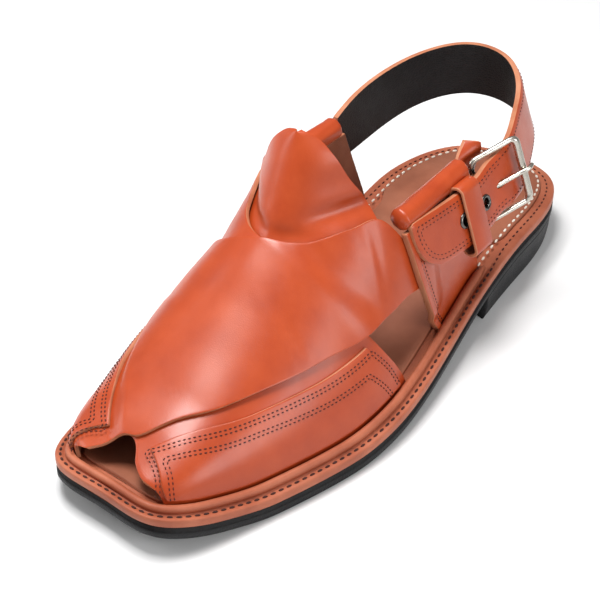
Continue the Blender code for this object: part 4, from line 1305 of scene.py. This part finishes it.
hinge, end, buckle_up, _ = buckle_frame()
buckle_length = float(np.linalg.norm(end - hinge))
buckle_along = (end - hinge) / buckle_length
loop = rounded_loop(buckle_length, BUCKLE_HEIGHT - BUCKLE_WIRE, BUCKLE_CORNER, steps=10)
wire = np.array([(hinge + end) / 2 + buckle_along * u + buckle_up * v for u, v in loop])
facing = np.cross(buckle_along, buckle_up)
toward_end = loop[:, 0] / (buckle_length / 2)
wire_radius = BUCKLE_WIRE / 2 + END_BAR_SWELL * smooth_step((toward_end - 0.78) / 0.18)
wire_rings = tube(wire, wire_radius, 24, up=facing, closed=True)
frame_piece = finish_piece("buckle_wire", *skinned(wire_rings, closed=True), [nickel])
ride(frame_piece, "nickel", "buckle_frame")
PIN_STEPS = 90
pin_line = spline(pin_path(), PIN_STEPS)
pin_share = np.linspace(0, 1, PIN_STEPS)
pin_radius = PIN_WIRE / 2 * np.sqrt(np.clip(1 - np.clip((pin_share - 0.975) / 0.025, 0, 0.995) ** 2, 0.01, 1))
pin = finish_piece("buckle_tongue_pin", *skinned(tube(pin_line, pin_radius, 20, up=buckle_up)), [nickel])
ride(pin, "nickel", "buckle_pin")


# Chape. A narrow strap of thin leather, fixed on the outer quarter and folded round the buckle's hinge bar,
# with a slot for the pin.
CHAPE_WIDTH = 0.0180
CHAPE_THICKNESS = 0.0012
CHAPE_SLOT = 0.0040
_, _, chape_up, chape_out = buckle_frame()
back = unit(end - hinge)
back = unit(back - chape_out * np.dot(back, chape_out))
turn = BUCKLE_WIRE / 2 + CHAPE_THICKNESS / 2 + GAP
centres = []
for degrees in range(-75, 131, 5):
    angle = math.radians(degrees)
    centres.append(hinge + back * turn * math.cos(angle) + chape_out * turn * math.sin(angle))
centres = [centres[0] - back * 0.0022 * k / 4 for k in (4, 3, 2, 1)] + centres
levels = np.linspace(-1, 1, 17) * CHAPE_WIDTH / 2
grid = [[centre + chape_up * v for v in levels] for centre in centres]
foot = []
for reach in (0.0, 0.010, 0.020, 0.030):
    heights = (hinge[2] + chape_up[2] * levels) / INSTEP_RISE
    offset = np.full(len(levels), QUARTER_WALL - STRAP_WALL + 0.0008 + CHAPE_THICKNESS / 2)
    foot.append(beside_last(np.full(len(levels), HINGE_ALONG + 0.060 + reach), heights, True, offset))
for share in (0.25, 0.5, 0.75):
    grid.append(np.array(grid[len(centres) - 1]) * (1 - share) + foot[0] * share)
grid = np.array([*grid, *foot], float)
normal = unit(np.cross(np.gradient(grid, axis=1), np.gradient(grid, axis=0))) * CHAPE_THICKNESS / 2
chape = sheet("chape_leather", grid + normal, grid - normal, rim=0.0003)
punch(chape, tube(pin_path()[:12], CHAPE_SLOT / 2, 16, up=chape_up))
ride(chape, "tan leather", "chape")


# Keeper. A loop of folded leather with light cut sides. It goes round the strap and holds its free end down.
KEEPER_ALONG = 0.365
KEEPER_WIDTH = 0.0120
KEEPER_HEIGHT = 0.0340
KEEPER_THICKNESS = 0.0014
KEEPER_SLACK = 0.0011
KEEPER_DROP = 0.0012
centre, keeper_out, keeper_up, keeper_run = strap_at(KEEPER_ALONG)
depth = BACKSTRAP_THICKNESS + 2 * KEEPER_SLACK + KEEPER_THICKNESS
centre = centre - keeper_up * KEEPER_DROP
loop = rounded_loop(KEEPER_HEIGHT - KEEPER_THICKNESS, depth, depth * 0.45, steps=12)
profile_sides = ((-1.0, -1.0), (-1.0, 0.6), (-0.93, 1.0), (0.93, 1.0), (1.0, 0.6), (1.0, -1.0))
sections = []
for k, (u, v) in enumerate(loop):
    tangent = unit(loop[(k + 1) % len(loop)] - loop[k - 1])
    normal = np.array((tangent[1], -tangent[0]))
    section = []
    for across, face in profile_sides:
        a, b = np.array((u, v)) + normal * face * KEEPER_THICKNESS / 2
        section.append(centre + keeper_up * a + keeper_out * b + keeper_run * across * KEEPER_WIDTH / 2)
    sections.append(section)
keeper_slots = [2, 2, 0, 2, 2, 1] * len(sections)
keeper = finish_piece(
    "keeper_loop", *skinned(np.array(sections), closed=True), [tan, lining, cut_edge], keeper_slots, 0.0003
)
ride(keeper, "tan leather", "keeper")


# Guard tab. A thin leather flap, held under the quarter's rear edge, which keeps the buckle off the foot and
# flares out at its top.
GUARD = (
    # height, front_along, rear_along
    (0.750, 0.345, 0.296),
    (0.790, 0.345, 0.281),
    (0.845, 0.340, 0.279),
    (0.880, 0.322, 0.279),
    (0.940, 0.318, 0.279),
    (1.005, 0.290, 0.279),
)
GUARD_FLARE = 0.0060
GUARD_THICKNESS = 0.0014
guard_height = np.linspace(GUARD[0][0], GUARD[-1][0], 50)[:, None]
guard_front, guard_rear = interpolate(GUARD, 1)(guard_height), interpolate(GUARD, 2)(guard_height)
w = np.linspace(0, 1, 30)[None, :]
along = guard_front * (1 - w) + guard_rear * w
guard_face = beside_last(along, guard_height, True, np.full(along.shape, -STRAP_WALL - 2 * GAP))
guard_face[..., 0] += GUARD_FLARE * smooth_step((guard_height - 0.80) / 0.2) * w
guard_back = guard_face - np.array((GUARD_THICKNESS, 0.0, 0.0))
guard = sheet("guard_tab_leather", guard_face, guard_back, rim=0.0003)
ride(guard, "tan leather", "guard_tab")
